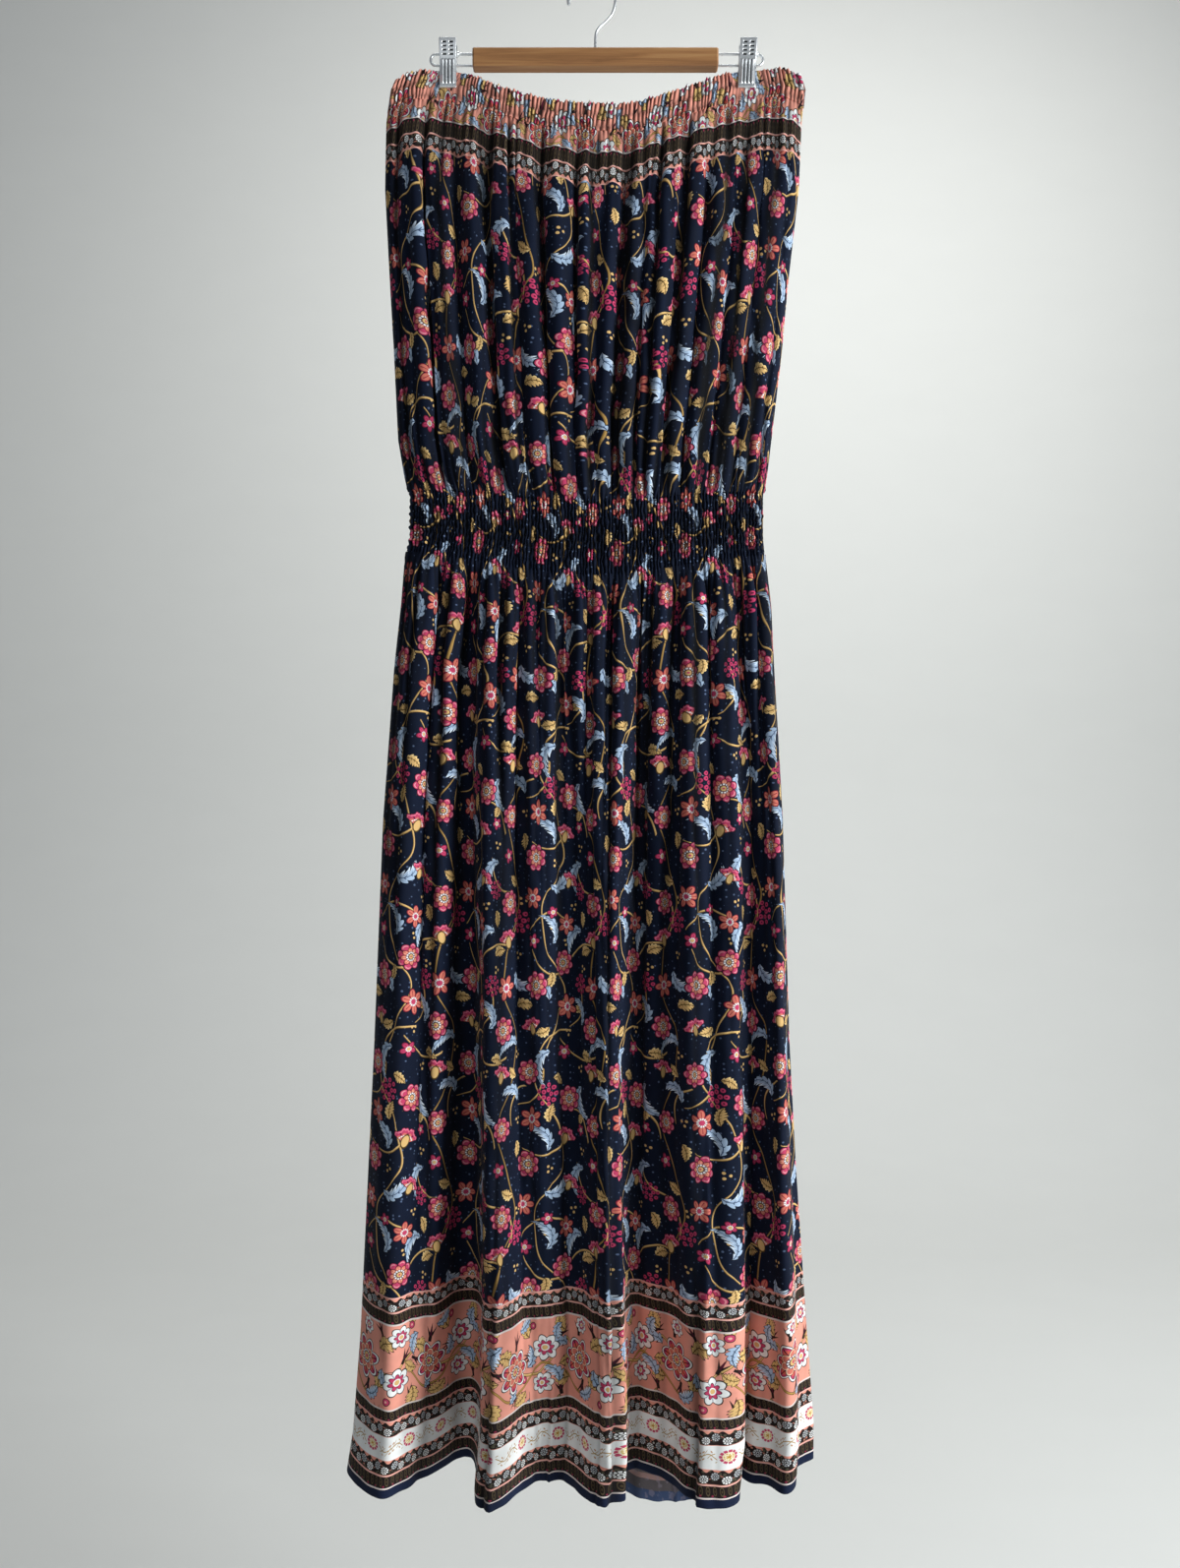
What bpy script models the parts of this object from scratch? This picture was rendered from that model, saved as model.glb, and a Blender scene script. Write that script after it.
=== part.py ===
"""A long strapless dress hanging from a wooden clip hanger.

The origin is the inside top of the hook, +Z is up and the dress faces -Y.
Every table is in millimetres: across from the middle of the bar, up from the origin,
and depth behind the hanger's plane, so the front lies at negative depths.
"""

import bmesh
import bpy
import numpy as np

MM = 0.001
# The hook's round stands this far left of the bar's middle.
MIDDLE = 3.1

WALL = 1.6
HEM_WALL = 2.3
SEAM_GAP = 0.3
# The casing's curved edge stands this far off the bodice's fewer points.
CASING_GAP = 0.75

HEM_DROP = 12.0
CASING_RAISE = 0.7
SHIRR_RAISE = 1.2
# Gathers across one panel, and rows of elastic thread over the waist.
CASING_GATHERS = 34
SHIRR_GATHERS = 52
SHIRR_ROWS = 6

# Columns and rows of the walls: steps between fold lines, and rows down each piece.
LINE_STEPS = 2
BODICE_ROWS = 8
SKIRT_ROWS = 10

# The dress laid flat: height, left edge, right edge.
OUTLINE = (
    (-84, -176, 184),
    (-100, -184, 189),
    (-131, -188.5, 186),
    (-191, -189.5, 183.5),
    (-278, -185, 173.5),
    (-339, -181.5, 168),
    (-415, -178, 159),
    (-448, -172.5, 155),
    (-467, -168, 152),
    (-503, -168, 152),
    (-528, -172.5, 154),
    (-565, -175.5, 158.5),
    (-619, -181.5, 161),
    (-760, -192, 169),
    (-959, -200, 176),
    (-1073, -205.5, 182.5),
    (-1220, -212.5, 193),
    (-1311, -219.5, 200),
    (-1346, -225, 200),
)

# The neckline, which sags between the clips: across, height.
NECK_EDGE = (
    (-185, -100),
    (-174, -90.5),
    (-150, -84.5),
    (-120, -86),
    (-88, -99),
    (-40, -113),
    (0, -117),
    (30, -116.5),
    (64, -107),
    (95, -96),
    (120, -86.5),
    (152, -83.5),
    (178, -86),
    (190, -95),
)
# The lower edge of the casing: share across in hundredths, height.
CASING_LOW = (
    (0, -122),
    (4, -114),
    (10, -110),
    (16, -112),
    (26, -124),
    (38, -137),
    (50, -142),
    (58, -141.5),
    (67, -133),
    (76, -121.5),
    (84, -112),
    (91, -109),
    (96, -111),
    (100, -117),
)

# Edges of the shirred waist and of the hems: share across in hundredths, height.
WAIST_TOP = ((0, -463), (20, -466), (50, -475), (80, -468), (100, -464))
WAIST_LOW = ((0, -517), (20, -527), (50, -540), (80, -530), (100, -520))
FRONT_HEM = ((0, -1346), (6, -1351), (50, -1350), (94, -1350), (100, -1345))
BACK_HEM = (
    (0, -1346),
    (10, -1357),
    (35, -1368),
    (58, -1383),
    (68, -1404),
    (74, -1407),
    (81, -1377),
    (90, -1362),
    (100, -1345),
)

# The casing, pinched flat in the clips: share across, depth of the front, of the back.
CASING_DEPTH = (
    (0, 0, 0),
    (0.8, -3.2, 3.2),
    (6, -4.4, 4.8),
    (9.0, -2.0, 2.0),
    (15.6, -2.0, 2.0),
    (24, -5.2, 6.5),
    (50, -9.0, 10.0),
    (77, -5.4, 6.2),
    (83.2, -2.0, 2.0),
    (90.2, -2.0, 2.0),
    (94.5, -4.0, 4.4),
    (99.2, -3.2, 3.2),
    (100, 0, 0),
)

# Half depth of the hollow at the bust and at the waist.
BUST_DEPTH = {"front": -21.0, "back": 18.0}
WAIST_DEPTH = {"front": -13.5, "back": 12.5}

# Valleys between the bodice's soft folds: share at the neck, at the waist, depth.
BODICE_VALLEYS = {
    "front": (
        (6, 5, 3.0),
        (10, 12, 4.5),
        (17, 19.5, 5.5),
        (25, 28, 5.0),
        (31.5, 35, 4.0),
        (38, 42, 5.0),
        (45.5, 48, 5.5),
        (52, 52.5, 3.5),
        (57.5, 57, 4.5),
        (63.5, 64, 5.0),
        (71, 70, 4.5),
        (77.5, 75.5, 5.5),
        (84.5, 82.5, 5.0),
        (91, 90.5, 4.5),
        (96, 96, 3.0),
    ),
    "back": (
        (8, 9, 4.0),
        (17, 18, 5.0),
        (27, 28, 4.5),
        (37, 38, 5.5),
        (47, 48, 4.0),
        (57, 57, 5.0),
        (67, 66, 5.5),
        (78, 76, 4.5),
        (87, 85, 5.0),
        (94, 94, 3.5),
    ),
}

# Side seams of the skirt: share and depth under the waist, at the knee, at the hem.
LEFT_SEAM = (0, 1, 0, 3, 0, 5)
RIGHT_SEAM = (100, 1, 100, 6, 100, 17)

# Fold lines of the skirt from left to right, each a ridge or a valley of the cloth:
# share and depth under the waist, share and depth at the knee, share and depth at the hem.
SKIRT_FOLDS = {
    "front": (
        (1.1, -7, 1.4, -10, 1.8, -12),
        (6.2, -14, 6.3, -24, 8.4, -31),
        (10.9, -5, 11, -7, 12.6, -14),
        (14.6, -12, 14.9, -14, 16.9, 8),
        (16.9, -4, 18.2, 6, 21.3, 30),
        (19.3, -3, 22.6, 12, 25.2, 38),
        (21.7, -7, 25.6, -2, 27.8, 14),
        (24, -14, 27.2, -22, 28.4, -30),
        (26.5, -9, 29.3, -27, 30.4, -42),
        (29.2, -14, 31.6, -24, 33.2, -34),
        (32, -5, 34.2, -11, 36.6, -16),
        (35, -13, 38, -20, 39.7, -6),
        (37.4, -6, 40, -21, 42, -3),
        (39.8, -13, 42.2, -18, 44.3, -3),
        (44, -4, 46, -6, 47.2, -8),
        (47.4, -12, 50, -9, 49.6, -24),
        (50.2, -6, 52, -16, 51.8, -37),
        (53.2, -13, 53.9, -24, 53.8, -44),
        (56.9, -5, 55.8, -30, 55.5, -45),
        (60.2, -13, 57.6, -27, 56.6, -28),
        (62.6, -8, 59.4, -10, 56.6, -6),
        (65, -4, 62.2, 5, 58.4, 11),
        (67.8, -9, 64.9, 4, 61.5, 16),
        (70.8, -13, 67.4, -4, 64.8, 11),
        (75.2, -5, 72.1, -8, 68.8, -4),
        (79, -14, 76.2, -26, 72.5, -26),
        (82.7, -6, 80.6, -18, 76.2, -35),
        (86, -13, 84.8, -26, 79.6, -35),
        (88.4, -9, 87, -22, 81.8, -24),
        (90.5, -5, 89.2, -9, 82.4, 1),
        (92.3, -9, 91.2, -3, 84, 9),
        (94, -13, 93.1, -8, 86, -3),
        (95.9, -6, 95, -18, 89, -9),
        (97.5, -10, 96.7, -23, 92, -25),
        (98.6, -8, 98.2, -14, 94.4, -18),
        (99.4, -4, 99.4, -3, 95.8, 6),
        (99.8, -1.5, 99.9, 2, 97.6, 12),
    ),
    "back": (
        (1, 8, 1.2, 12, 1.6, 20),
        (4.5, 12, 4.5, 20, 5, 33),
        (8, 6, 8, 12, 9, 25),
        (11.5, 13, 11.5, 22, 13, 42),
        (15, 6, 15, 15, 17, 40),
        (18.5, 13, 19, 25, 21, 50),
        (22, 6, 22.5, 24, 25, 53),
        (25.5, 13, 26, 28, 29, 52),
        (29, 6, 30, 17, 33, 38),
        (32.5, 13, 33.5, 18, 36.5, 30),
        (36, 6, 37, 14, 39.5, 34),
        (40, 13, 41, 24, 43, 48),
        (44, 6, 45, 18, 46.5, 54),
        (47.5, 13, 48.5, 26, 50, 56),
        (51.5, 6, 52.5, 16, 53.5, 50),
        (55, 13, 56, 18, 57, 40),
        (59, 6, 60, 14, 60.5, 35),
        (62.5, 13, 64, 23, 65, 42),
        (66.5, 6, 67.5, 20, 69, 52),
        (70.5, 13, 71.5, 28, 73, 57),
        (74.5, 6, 75, 18, 76.5, 52),
        (78, 13, 79, 18, 80, 40),
        (82, 6, 82.5, 12, 84, 31),
        (86, 13, 86.5, 22, 88, 38),
        (90, 6, 90.5, 16, 91.5, 43),
        (94, 12, 94.5, 20, 95, 38),
        (98.8, 7, 98.8, 13, 98.9, 28),
    ),
}
# How far down the skirt the knee rows of the table lie.
KNEE = 0.43

# Hanger
BAR_LENGTH = 221.0
BAR_DEPTH = 13.0
BAR_HEIGHT = 16.7
BAR_CENTRE_Z = -73.4
BAR_BEVEL = 1.2
WIRE_RADIUS = 1.2
WIRE_SPACING = 10.2
WIRE_ENDS = (-148.6, 151.3)
SOCKET_DEPTH = 6.0
SOCKET_RADIUS = 1.55
NOTCH_RADIUS = 1.75
HOOK_RADIUS = 21.0
# Angles of the hook's round, in degrees from +X, from the tip over the top.
HOOK_ARC = (191, -14)
# The neck of the hook, below its round: across from the round's centre, height.
HOOK_NECK = ((18.0, -32.0), (13.0, -38.0), (7.2, -43.4), (3.9, -48.5), (3.1, -56), (3.1, -68))

JAW_WIDTH = 15.2
JAW_THICKNESS = 1.0
JAW_HEIGHT = 43.5
JAW_TOP = -56.5
JAW_FLARE = 3.4
FLUTE_RAISE = 0.8
FLUTES = 4
FLUTE_TOP = -74.0
CHEEK_THICKNESS = 1.0
CHEEK_TOP, CHEEK_LOW = -64.0, -82.4
# Clips: name, across, lean as the shift across for each step up.
CLIPS = (("left", -132.8, 0.0), ("right", 137.1, 0.05))

COLOURS = {
    "navy": (0.011, 0.017, 0.036),
    "coral": (0.72, 0.26, 0.18),
    "hem_navy": (0.019, 0.037, 0.089),
    "wood": (0.31, 0.15, 0.062),
    "chrome": (0.62, 0.63, 0.64),
}


def clear_scene():
    for item in list(bpy.data.objects):
        bpy.data.objects.remove(item, do_unlink=True)


def material(name, roughness, metallic=0.0):
    made = bpy.data.materials.get(name) or bpy.data.materials.new(name)
    made.use_nodes = True
    shader = made.node_tree.nodes["Principled BSDF"]
    shader.inputs["Base Color"].default_value = (*COLOURS[name], 1)
    shader.inputs["Roughness"].default_value = roughness
    shader.inputs["Metallic"].default_value = metallic
    return made


def cloth(name):
    return material(name, 0.75)


def add_object(name, mesh, look):
    mesh.materials.append(look)
    made = bpy.data.objects.new(name, mesh)
    bpy.context.scene.collection.objects.link(made)
    return made


def column(table, index):
    return np.array([row[index] for row in table], float)


def along(table, at, value=1, key=0):
    """The table's value at these keys, which may run down or up."""
    keys = column(table, key)
    order = np.argsort(keys)
    return np.interp(at, keys[order], column(table, value)[order])


def ease(t):
    t = np.clip(t, 0, 1)
    return t * t * (3 - 2 * t)


def through_three(low, middle, high, t, middle_at):
    """The parabola through three values at 0, middle_at and 1."""
    a = (t - middle_at) * (t - 1) / middle_at
    b = t * (t - 1) / (middle_at * (middle_at - 1))
    c = t * (t - middle_at) / (1 - middle_at)
    return low * a + middle * b + high * c


def across(share, z):
    left = along(OUTLINE, z, 1)
    right = along(OUTLINE, z, 2)
    return left + (right - left) * share / 100


def smooth_along(table, at):
    """A smooth curve through the table's rows, with their mean slopes as its tangents."""
    keys, values = column(table, 0), column(table, 1)
    slopes = np.gradient(values, keys)
    row = np.clip(np.searchsorted(keys, at, side="right") - 1, 0, len(keys) - 2)
    width = keys[row + 1] - keys[row]
    t = np.clip((at - keys[row]) / width, 0, 1)
    rise = values[row + 1] - values[row]
    start = width * slopes[row]
    end = width * slopes[row + 1]
    return values[row] + start * t + (3 * rise - 2 * start - end) * t**2 + (
        start + end - 2 * rise
    ) * t**3


def neck_height(share):
    z = np.full_like(share, -100.0)
    for _ in range(4):
        z = smooth_along(NECK_EDGE, across(share, z))
    return z


def oval(share, depth):
    """A flattened oval's depth, 0 at both seams."""
    return depth * np.sqrt(1 - np.abs(share / 50 - 1) ** 6)


def bodice_lines(side, v):
    """Shares and depths of the bodice's lines at v, 0 at the casing and 1 at the waist."""
    valleys = BODICE_VALLEYS[side]
    share = ease(v * 0.5 + 0.25 * v) * (column(valleys, 1) - column(valleys, 0)) + column(valleys, 0)
    deep = column(valleys, 2)
    ridges = (share[1:] + share[:-1]) / 2
    swell = -(deep[1:] + deep[:-1]) / 4
    shares = np.concatenate([[0, 0.8], np.ravel(np.column_stack([share[:-1], ridges])), share[-1:], [99.2, 100]])
    relief = np.concatenate([[0, 0], np.ravel(np.column_stack([deep[:-1], swell])), deep[-1:], [0, 0]])
    pinched = along(CASING_DEPTH, shares, 1 if side == "front" else 2)
    bust = oval(shares, BUST_DEPTH[side])
    waist = oval(shares, WAIST_DEPTH[side])
    base = pinched + (bust - pinched) * ease(v / 0.4)
    base = base + (waist - base) * ease((v - 0.45) / 0.55)
    strength = ease(v / 0.35) - 0.45 * ease((v - 0.7) / 0.3)
    outwards = -1 if side == "front" else 1
    return shares, base - outwards * relief * strength


def skirt_lines(side, v):
    """Shares and depths of the skirt's lines at v, 0 at the waist and 1 at the hem."""
    table = (LEFT_SEAM, *SKIRT_FOLDS[side], RIGHT_SEAM)
    values = [column(table, index) for index in range(6)]
    shares = through_three(values[0], values[2], values[4], v, KNEE)
    depths = through_three(values[1], values[3], values[5], v, KNEE)
    return shares, depths


def bodice_span(side, shares):
    top = smooth_along(CASING_LOW, shares) - CASING_GAP
    low = smooth_along(WAIST_TOP, shares) + SEAM_GAP / 2
    return top, low


def skirt_span(side, shares):
    top = smooth_along(WAIST_LOW, shares) - SEAM_GAP / 2
    low = smooth_along(FRONT_HEM if side == "front" else BACK_HEM, shares)
    return top, low


def side_points(side, lines, span, v):
    shares, depths = lines(side, v)
    top, low = span(side, shares)
    z = top + (low - top) * v
    return np.column_stack([across(shares, z) + MIDDLE, depths, z])


def smooth_ring(points, steps):
    """A closed Catmull-Rom curve through the points, and its unit tangents."""
    before, after, later = (np.roll(points, shift, axis=0) for shift in (1, -1, -2))
    t = (np.arange(steps) / steps)[:, None, None]
    curve = 0.5 * (
        2 * points
        + (after - before) * t
        + (2 * before - 5 * points + 4 * after - later) * t**2
        + (3 * points - before - 3 * after + later) * t**3
    )
    curve = curve.transpose(1, 0, 2).reshape(-1, 3)
    tangent = np.roll(curve, -1, axis=0) - np.roll(curve, 1, axis=0)
    tangent[:, 2] = 0
    return curve, tangent / np.linalg.norm(tangent, axis=1)[:, None]


def ring_at(lines, span, v):
    """Front and back of one section, each from left to right, as points and inward normals."""
    front = side_points("front", lines, span, v)
    back = side_points("back", lines, span, v)
    curve, tangent = smooth_ring(np.concatenate([front, back[-2:0:-1]]), LINE_STEPS)
    inward = np.column_stack([-tangent[:, 1], tangent[:, 0], np.zeros(len(tangent))])
    last = (len(front) - 1) * LINE_STEPS
    around = np.concatenate([np.arange(last, len(curve)), [0]])
    parts = {}
    for side, index, turn in (("front", np.arange(last + 1), 1), ("back", around[::-1], -1)):
        points = curve[index].copy()
        points[0] += turn * tangent[index[0]] * SEAM_GAP / 2
        points[-1] -= turn * tangent[index[-1]] * SEAM_GAP / 2
        parts[side] = (points, inward[index])
    return parts


def wall_between(outer, inner):
    """A closed mesh between two grids over the same patch, which may have different counts."""
    made = bmesh.new()

    def grid(points):
        rows = [[made.verts.new(point * MM) for point in row] for row in points]
        for upper, lower in zip(rows, rows[1:]):
            for a, b, c, d in zip(upper, upper[1:], lower[1:], lower):
                made.faces.new((a, b, c, d))
        return rows

    def bridge(first, second):
        """Triangles between two edges, stepping along the one that is less far on."""
        i = j = 0
        while i < len(first) - 1 or j < len(second) - 1:
            ahead_first = (i + 1) / (len(first) - 1)
            ahead_second = (j + 1) / (len(second) - 1)
            if i < len(first) - 1 and (ahead_first <= ahead_second or j == len(second) - 1):
                made.faces.new((first[i], first[i + 1], second[j]))
                i += 1
            else:
                made.faces.new((first[i], second[j + 1], second[j]))
                j += 1

    outside, inside = grid(outer), grid(inner)
    bridge(outside[0], inside[0])
    bridge(outside[-1], inside[-1])
    bridge([row[0] for row in outside], [row[0] for row in inside])
    bridge([row[-1] for row in outside], [row[-1] for row in inside])
    bmesh.ops.recalc_face_normals(made, faces=made.faces)
    mesh = bpy.data.meshes.new("wall")
    made.to_mesh(mesh)
    made.free()
    mesh.shade_smooth()
    mesh.set_sharp_from_angle(angle=1.0)
    return mesh


def folded_panels(name, lines, span, levels, thickness, look):
    """The front and back walls between these levels, as name_front and name_back."""
    rings = [ring_at(lines, span, v) for v in levels]
    for side in ("front", "back"):
        outer = np.array([ring[side][0] for ring in rings])
        inner = np.array([ring[side][0] + ring[side][1] * thickness for ring in rings])
        add_object(f"{name}_{side}", wall_between(outer, inner), look)


def make_bodice():
    levels = np.linspace(0, 1, BODICE_ROWS + 1)
    folded_panels("bodice", bodice_lines, bodice_span, levels, WALL, cloth("navy"))


def make_skirt():
    hem_at = 1 - HEM_DROP / 830
    gap = SEAM_GAP / 830
    levels = np.linspace(0, hem_at, SKIRT_ROWS + 1)
    folded_panels("skirt", skirt_lines, skirt_span, levels, WALL, cloth("navy"))
    hem_levels = np.array([hem_at + gap, 1.0])
    folded_panels("hem", skirt_lines, skirt_span, hem_levels, HEM_WALL, cloth("hem_navy"))


def seam_shares(count):
    """Shares across a panel, closer together round the seams, with the seam gap left."""
    t = np.linspace(0, 1, count + 1)
    return 100 * (t - 0.9 * np.sin(2 * np.pi * t) / (2 * np.pi) * np.abs(2 * t - 1) ** 3)


def gathered_panel(name, side, shares, rows, depth_of, height_of, raise_by, look):
    """A wall plain inside, with gathers raised in its outer points."""
    outwards = -1 if side == "front" else 1
    gather = np.where(np.arange(len(shares)) % 2, 1.0, 0.0)
    gather[0] = gather[-1] = 0

    def sheet(at_shares, levels, raised, inset):
        sheet_rows = []
        for v in levels:
            z = height_of(at_shares, v)
            seam = np.clip(np.minimum(at_shares, 100 - at_shares) / 1.2, 0, 1)
            depth = depth_of(side, at_shares) + outwards * (raised(v) - inset * np.sqrt(seam))
            x = across(at_shares, z) + np.sign(50 - at_shares) * inset * (1 - seam)
            depth = np.where(seam == 0, outwards * SEAM_GAP / 2, depth)
            sheet_rows.append(np.column_stack([x + MIDDLE, depth, z]))
        return np.array(sheet_rows)

    outer = sheet(shares, np.linspace(0, 1, rows + 1), raise_by(shares, gather), 0)
    step = 4 if len(shares) > 100 else 2
    inner = sheet(shares[::step], np.array([0, 0.5, 1]), lambda v: 0, WALL)
    add_object(f"{name}_{side}", wall_between(outer, inner), look)


def make_casing():
    """The turned casing, gathered on wide elastic and pinched in the clips."""
    shares = seam_shares(2 * CASING_GATHERS)
    in_clip = np.clip(np.abs(along(CASING_DEPTH, shares)) - 2.0, 0, 1)

    def depth_of(side, at):
        return along(CASING_DEPTH, at, 1 if side == "front" else 2)

    def height_of(at, v):
        return neck_height(at) * (1 - v) + smooth_along(CASING_LOW, at) * v

    def raise_by(_, gather):
        return lambda v: CASING_RAISE * gather * in_clip

    for side in ("front", "back"):
        gathered_panel("casing", side, shares, 3, depth_of, height_of, raise_by, cloth("coral"))


def make_waist():
    """The shirred band: gathers swell between the rows of elastic and pinch on them."""
    shares = seam_shares(2 * SHIRR_GATHERS)

    def depth_of(side, at):
        return oval(at, WAIST_DEPTH[side])

    def height_of(at, v):
        top = smooth_along(WAIST_TOP, at) - SEAM_GAP / 2
        low = smooth_along(WAIST_LOW, at) + SEAM_GAP / 2
        return top + (low - top) * v

    def raise_by(_, gather):
        return lambda v: SHIRR_RAISE * gather * (0.55 + 0.45 * np.cos(np.pi * SHIRR_ROWS * v))

    for side in ("front", "back"):
        gathered_panel(
            "waist", side, shares, SHIRR_ROWS, depth_of, height_of, raise_by, cloth("navy")
        )


def rod_mesh(points, radius, sides=8):
    """A rod along points that lie in a plane of constant depth, with flat ends."""
    points = np.array(points, float)
    tangent = np.gradient(points, axis=0)
    tangent /= np.linalg.norm(tangent, axis=1)[:, None]
    sideways = np.cross(tangent, (0, 1, 0))
    made = bmesh.new()
    rings = []
    for point, side_way in zip(points, sideways):
        angles = 2 * np.pi * (np.arange(sides) + 0.5) / sides
        ring = point + radius * (
            np.cos(angles)[:, None] * side_way + np.sin(angles)[:, None] * np.array((0, 1, 0))
        )
        rings.append([made.verts.new(corner * MM) for corner in ring])
    for first, second in zip(rings, rings[1:]):
        for i in range(sides):
            j = (i + 1) % sides
            made.faces.new((first[i], first[j], second[j], second[i]))
    made.faces.new(rings[0])
    made.faces.new(rings[-1])
    bmesh.ops.recalc_face_normals(made, faces=made.faces)
    mesh = bpy.data.meshes.new("rod")
    made.to_mesh(mesh)
    made.free()
    mesh.shade_smooth()
    mesh.set_sharp_from_angle(angle=1.0)
    return mesh


def arc(centre_x, centre_z, radius, start, end, steps):
    angles = np.radians(np.linspace(start, end, steps + 1))
    return [(centre_x + radius * np.cos(a), 0, centre_z + radius * np.sin(a)) for a in angles]


def box_mesh(low, high, bevel=0.0):
    made = bmesh.new()
    bmesh.ops.create_cube(made, size=1)
    low, high = np.array(low, float), np.array(high, float)
    for vert in made.verts:
        vert.co = (low + (np.array(vert.co) + 0.5) * (high - low)) * MM
    if bevel:
        bmesh.ops.bevel(made, geom=made.edges, offset=bevel * MM, segments=1, affect="EDGES")
    bmesh.ops.recalc_face_normals(made, faces=made.faces)
    mesh = bpy.data.meshes.new("box")
    made.to_mesh(mesh)
    made.free()
    return mesh


def join_or_cut(target, mesh, operation):
    """A Boolean with a helper object that isn't rendered."""
    helper = bpy.data.objects.new(f"{target.name}_tool{len(target.modifiers)}", mesh)
    bpy.context.scene.collection.objects.link(helper)
    helper.hide_render = True
    helper.display_type = "WIRE"
    step = target.modifiers.new("step", "BOOLEAN")
    step.operation = operation
    step.solver = "EXACT"
    step.object = helper


def wire_heights():
    return BAR_CENTRE_Z + WIRE_SPACING / 2, BAR_CENTRE_Z - WIRE_SPACING / 2


def make_bar():
    half = BAR_LENGTH / 2
    low = (MIDDLE - half, -BAR_DEPTH / 2, BAR_CENTRE_Z - BAR_HEIGHT / 2)
    high = (MIDDLE + half, BAR_DEPTH / 2, BAR_CENTRE_Z + BAR_HEIGHT / 2)
    look = material("wood", 0.5)
    bar = add_object("hanger_bar", box_mesh(low, high, BAR_BEVEL), look)
    for end in (-1, 1):
        for z in wire_heights():
            inside = MIDDLE + end * (half - SOCKET_DEPTH)
            outside = MIDDLE + end * (half + 2)
            socket = rod_mesh([(inside, 0, z), (outside, 0, z)], SOCKET_RADIUS)
            join_or_cut(bar, socket, "DIFFERENCE")
    top = BAR_CENTRE_Z + BAR_HEIGHT / 2
    socket = rod_mesh([(MIDDLE, 0, top - SOCKET_DEPTH), (MIDDLE, 0, top + 2)], SOCKET_RADIUS)
    join_or_cut(bar, socket, "DIFFERENCE")


def make_wires():
    """The two closed loops on which the clips slide, one out of each end of the bar."""
    upper, lower = wire_heights()
    radius = WIRE_SPACING / 2
    for name, end, tip in (("left", -1, WIRE_ENDS[0]), ("right", 1, WIRE_ENDS[1])):
        inside = MIDDLE + end * (BAR_LENGTH / 2 - SOCKET_DEPTH + SEAM_GAP)
        centre = MIDDLE + tip - end * radius
        route = [(inside, 0, upper)]
        route += arc(centre, BAR_CENTRE_Z, radius, 90, 90 - end * 180, 8)
        route += [(inside, 0, lower)]
        look = material("chrome", 0.25, 1.0)
        add_object(f"hanger_wire_{name}", rod_mesh(route, WIRE_RADIUS), look)


def make_hook():
    centre_z = WIRE_RADIUS - HOOK_RADIUS
    route = arc(0, centre_z, HOOK_RADIUS, *HOOK_ARC, 18)
    route += [(x, 0, z) for x, z in HOOK_NECK]
    add_object("hanger_hook", rod_mesh(route, WIRE_RADIUS), material("chrome", 0.25, 1.0))


def jaw_depth(height):
    """Depth of a jaw's inner face, which flares above the wires."""
    return 2.3 + JAW_FLARE * ease((height - CHEEK_LOW) / (JAW_TOP - CHEEK_LOW))


def jaw_mesh(centre, lean, outwards):
    """A plate with upright flutes on its lower part, facing outwards along Y."""

    def place(x, depth, z):
        return centre + x + (z - BAR_CENTRE_Z) * lean, outwards * depth, z

    half = JAW_WIDTH / 2
    pitch = (JAW_WIDTH - 2.4) / FLUTES
    xs, raised = [-half], [0.0]
    for flute in range(FLUTES):
        start = -half + 1.2 + flute * pitch
        xs += [start, start + pitch / 2]
        raised += [0.0, 1.0]
    xs += [half - 1.2, half]
    raised += [0.0, 0.0]
    low = JAW_TOP - JAW_HEIGHT
    heights = np.array([JAW_TOP, FLUTE_TOP + 2, FLUTE_TOP, low + 2.5, low])
    fluted = (0, 0, 1, 1, 0)
    outer = [
        [
            place(x, jaw_depth(z) + JAW_THICKNESS + FLUTE_RAISE * up * on, z)
            for x, up in zip(xs, raised)
        ]
        for z, on in zip(heights, fluted)
    ]
    inner_heights = np.array([JAW_TOP, FLUTE_TOP, low])
    inner = [[place(x, jaw_depth(z), z) for x in (-half, half)] for z in inner_heights]
    return wall_between(np.array(outer), np.array(inner))


def make_clips():
    """Sprung jaws in front and behind; their cheeks fit round the wires."""
    for name, centre, lean in CLIPS:
        centre += MIDDLE
        for place, outwards in (("front", -1), ("back", 1)):
            jaw = add_object(
                f"clip_{name}_{place}",
                jaw_mesh(centre, lean, outwards),
                material("chrome", 0.25, 1.0),
            )
            for end in (-1, 1):
                edge = centre + end * (JAW_WIDTH / 2 - 0.1)
                near = edge - end * CHEEK_THICKNESS
                low = (min(edge, near), min(outwards * 0.35, outwards * 3.4), CHEEK_LOW)
                high = (max(edge, near), max(outwards * 0.35, outwards * 3.4), CHEEK_TOP)
                join_or_cut(jaw, box_mesh(low, high), "UNION")
            for z in wire_heights():
                reach = JAW_WIDTH / 2 + 3
                hole = rod_mesh([(centre - reach, 0, z), (centre + reach, 0, z)], NOTCH_RADIUS, 6)
                join_or_cut(jaw, hole, "DIFFERENCE")


clear_scene()
make_bar()
make_wires()
make_hook()
make_clips()
make_casing()
make_bodice()
make_waist()
make_skirt()
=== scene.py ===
"""Looks of a long strapless dress hanging from a wooden clip hanger.

Thin cloth shells lie on the forms of the solids, with their gathers, a flowered print with
borders, a turned hem, chrome, wood, light and camera. Tables are in millimetres: across from
the middle of the bar, up from the hook, and depth behind the hanger's plane.
"""

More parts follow.
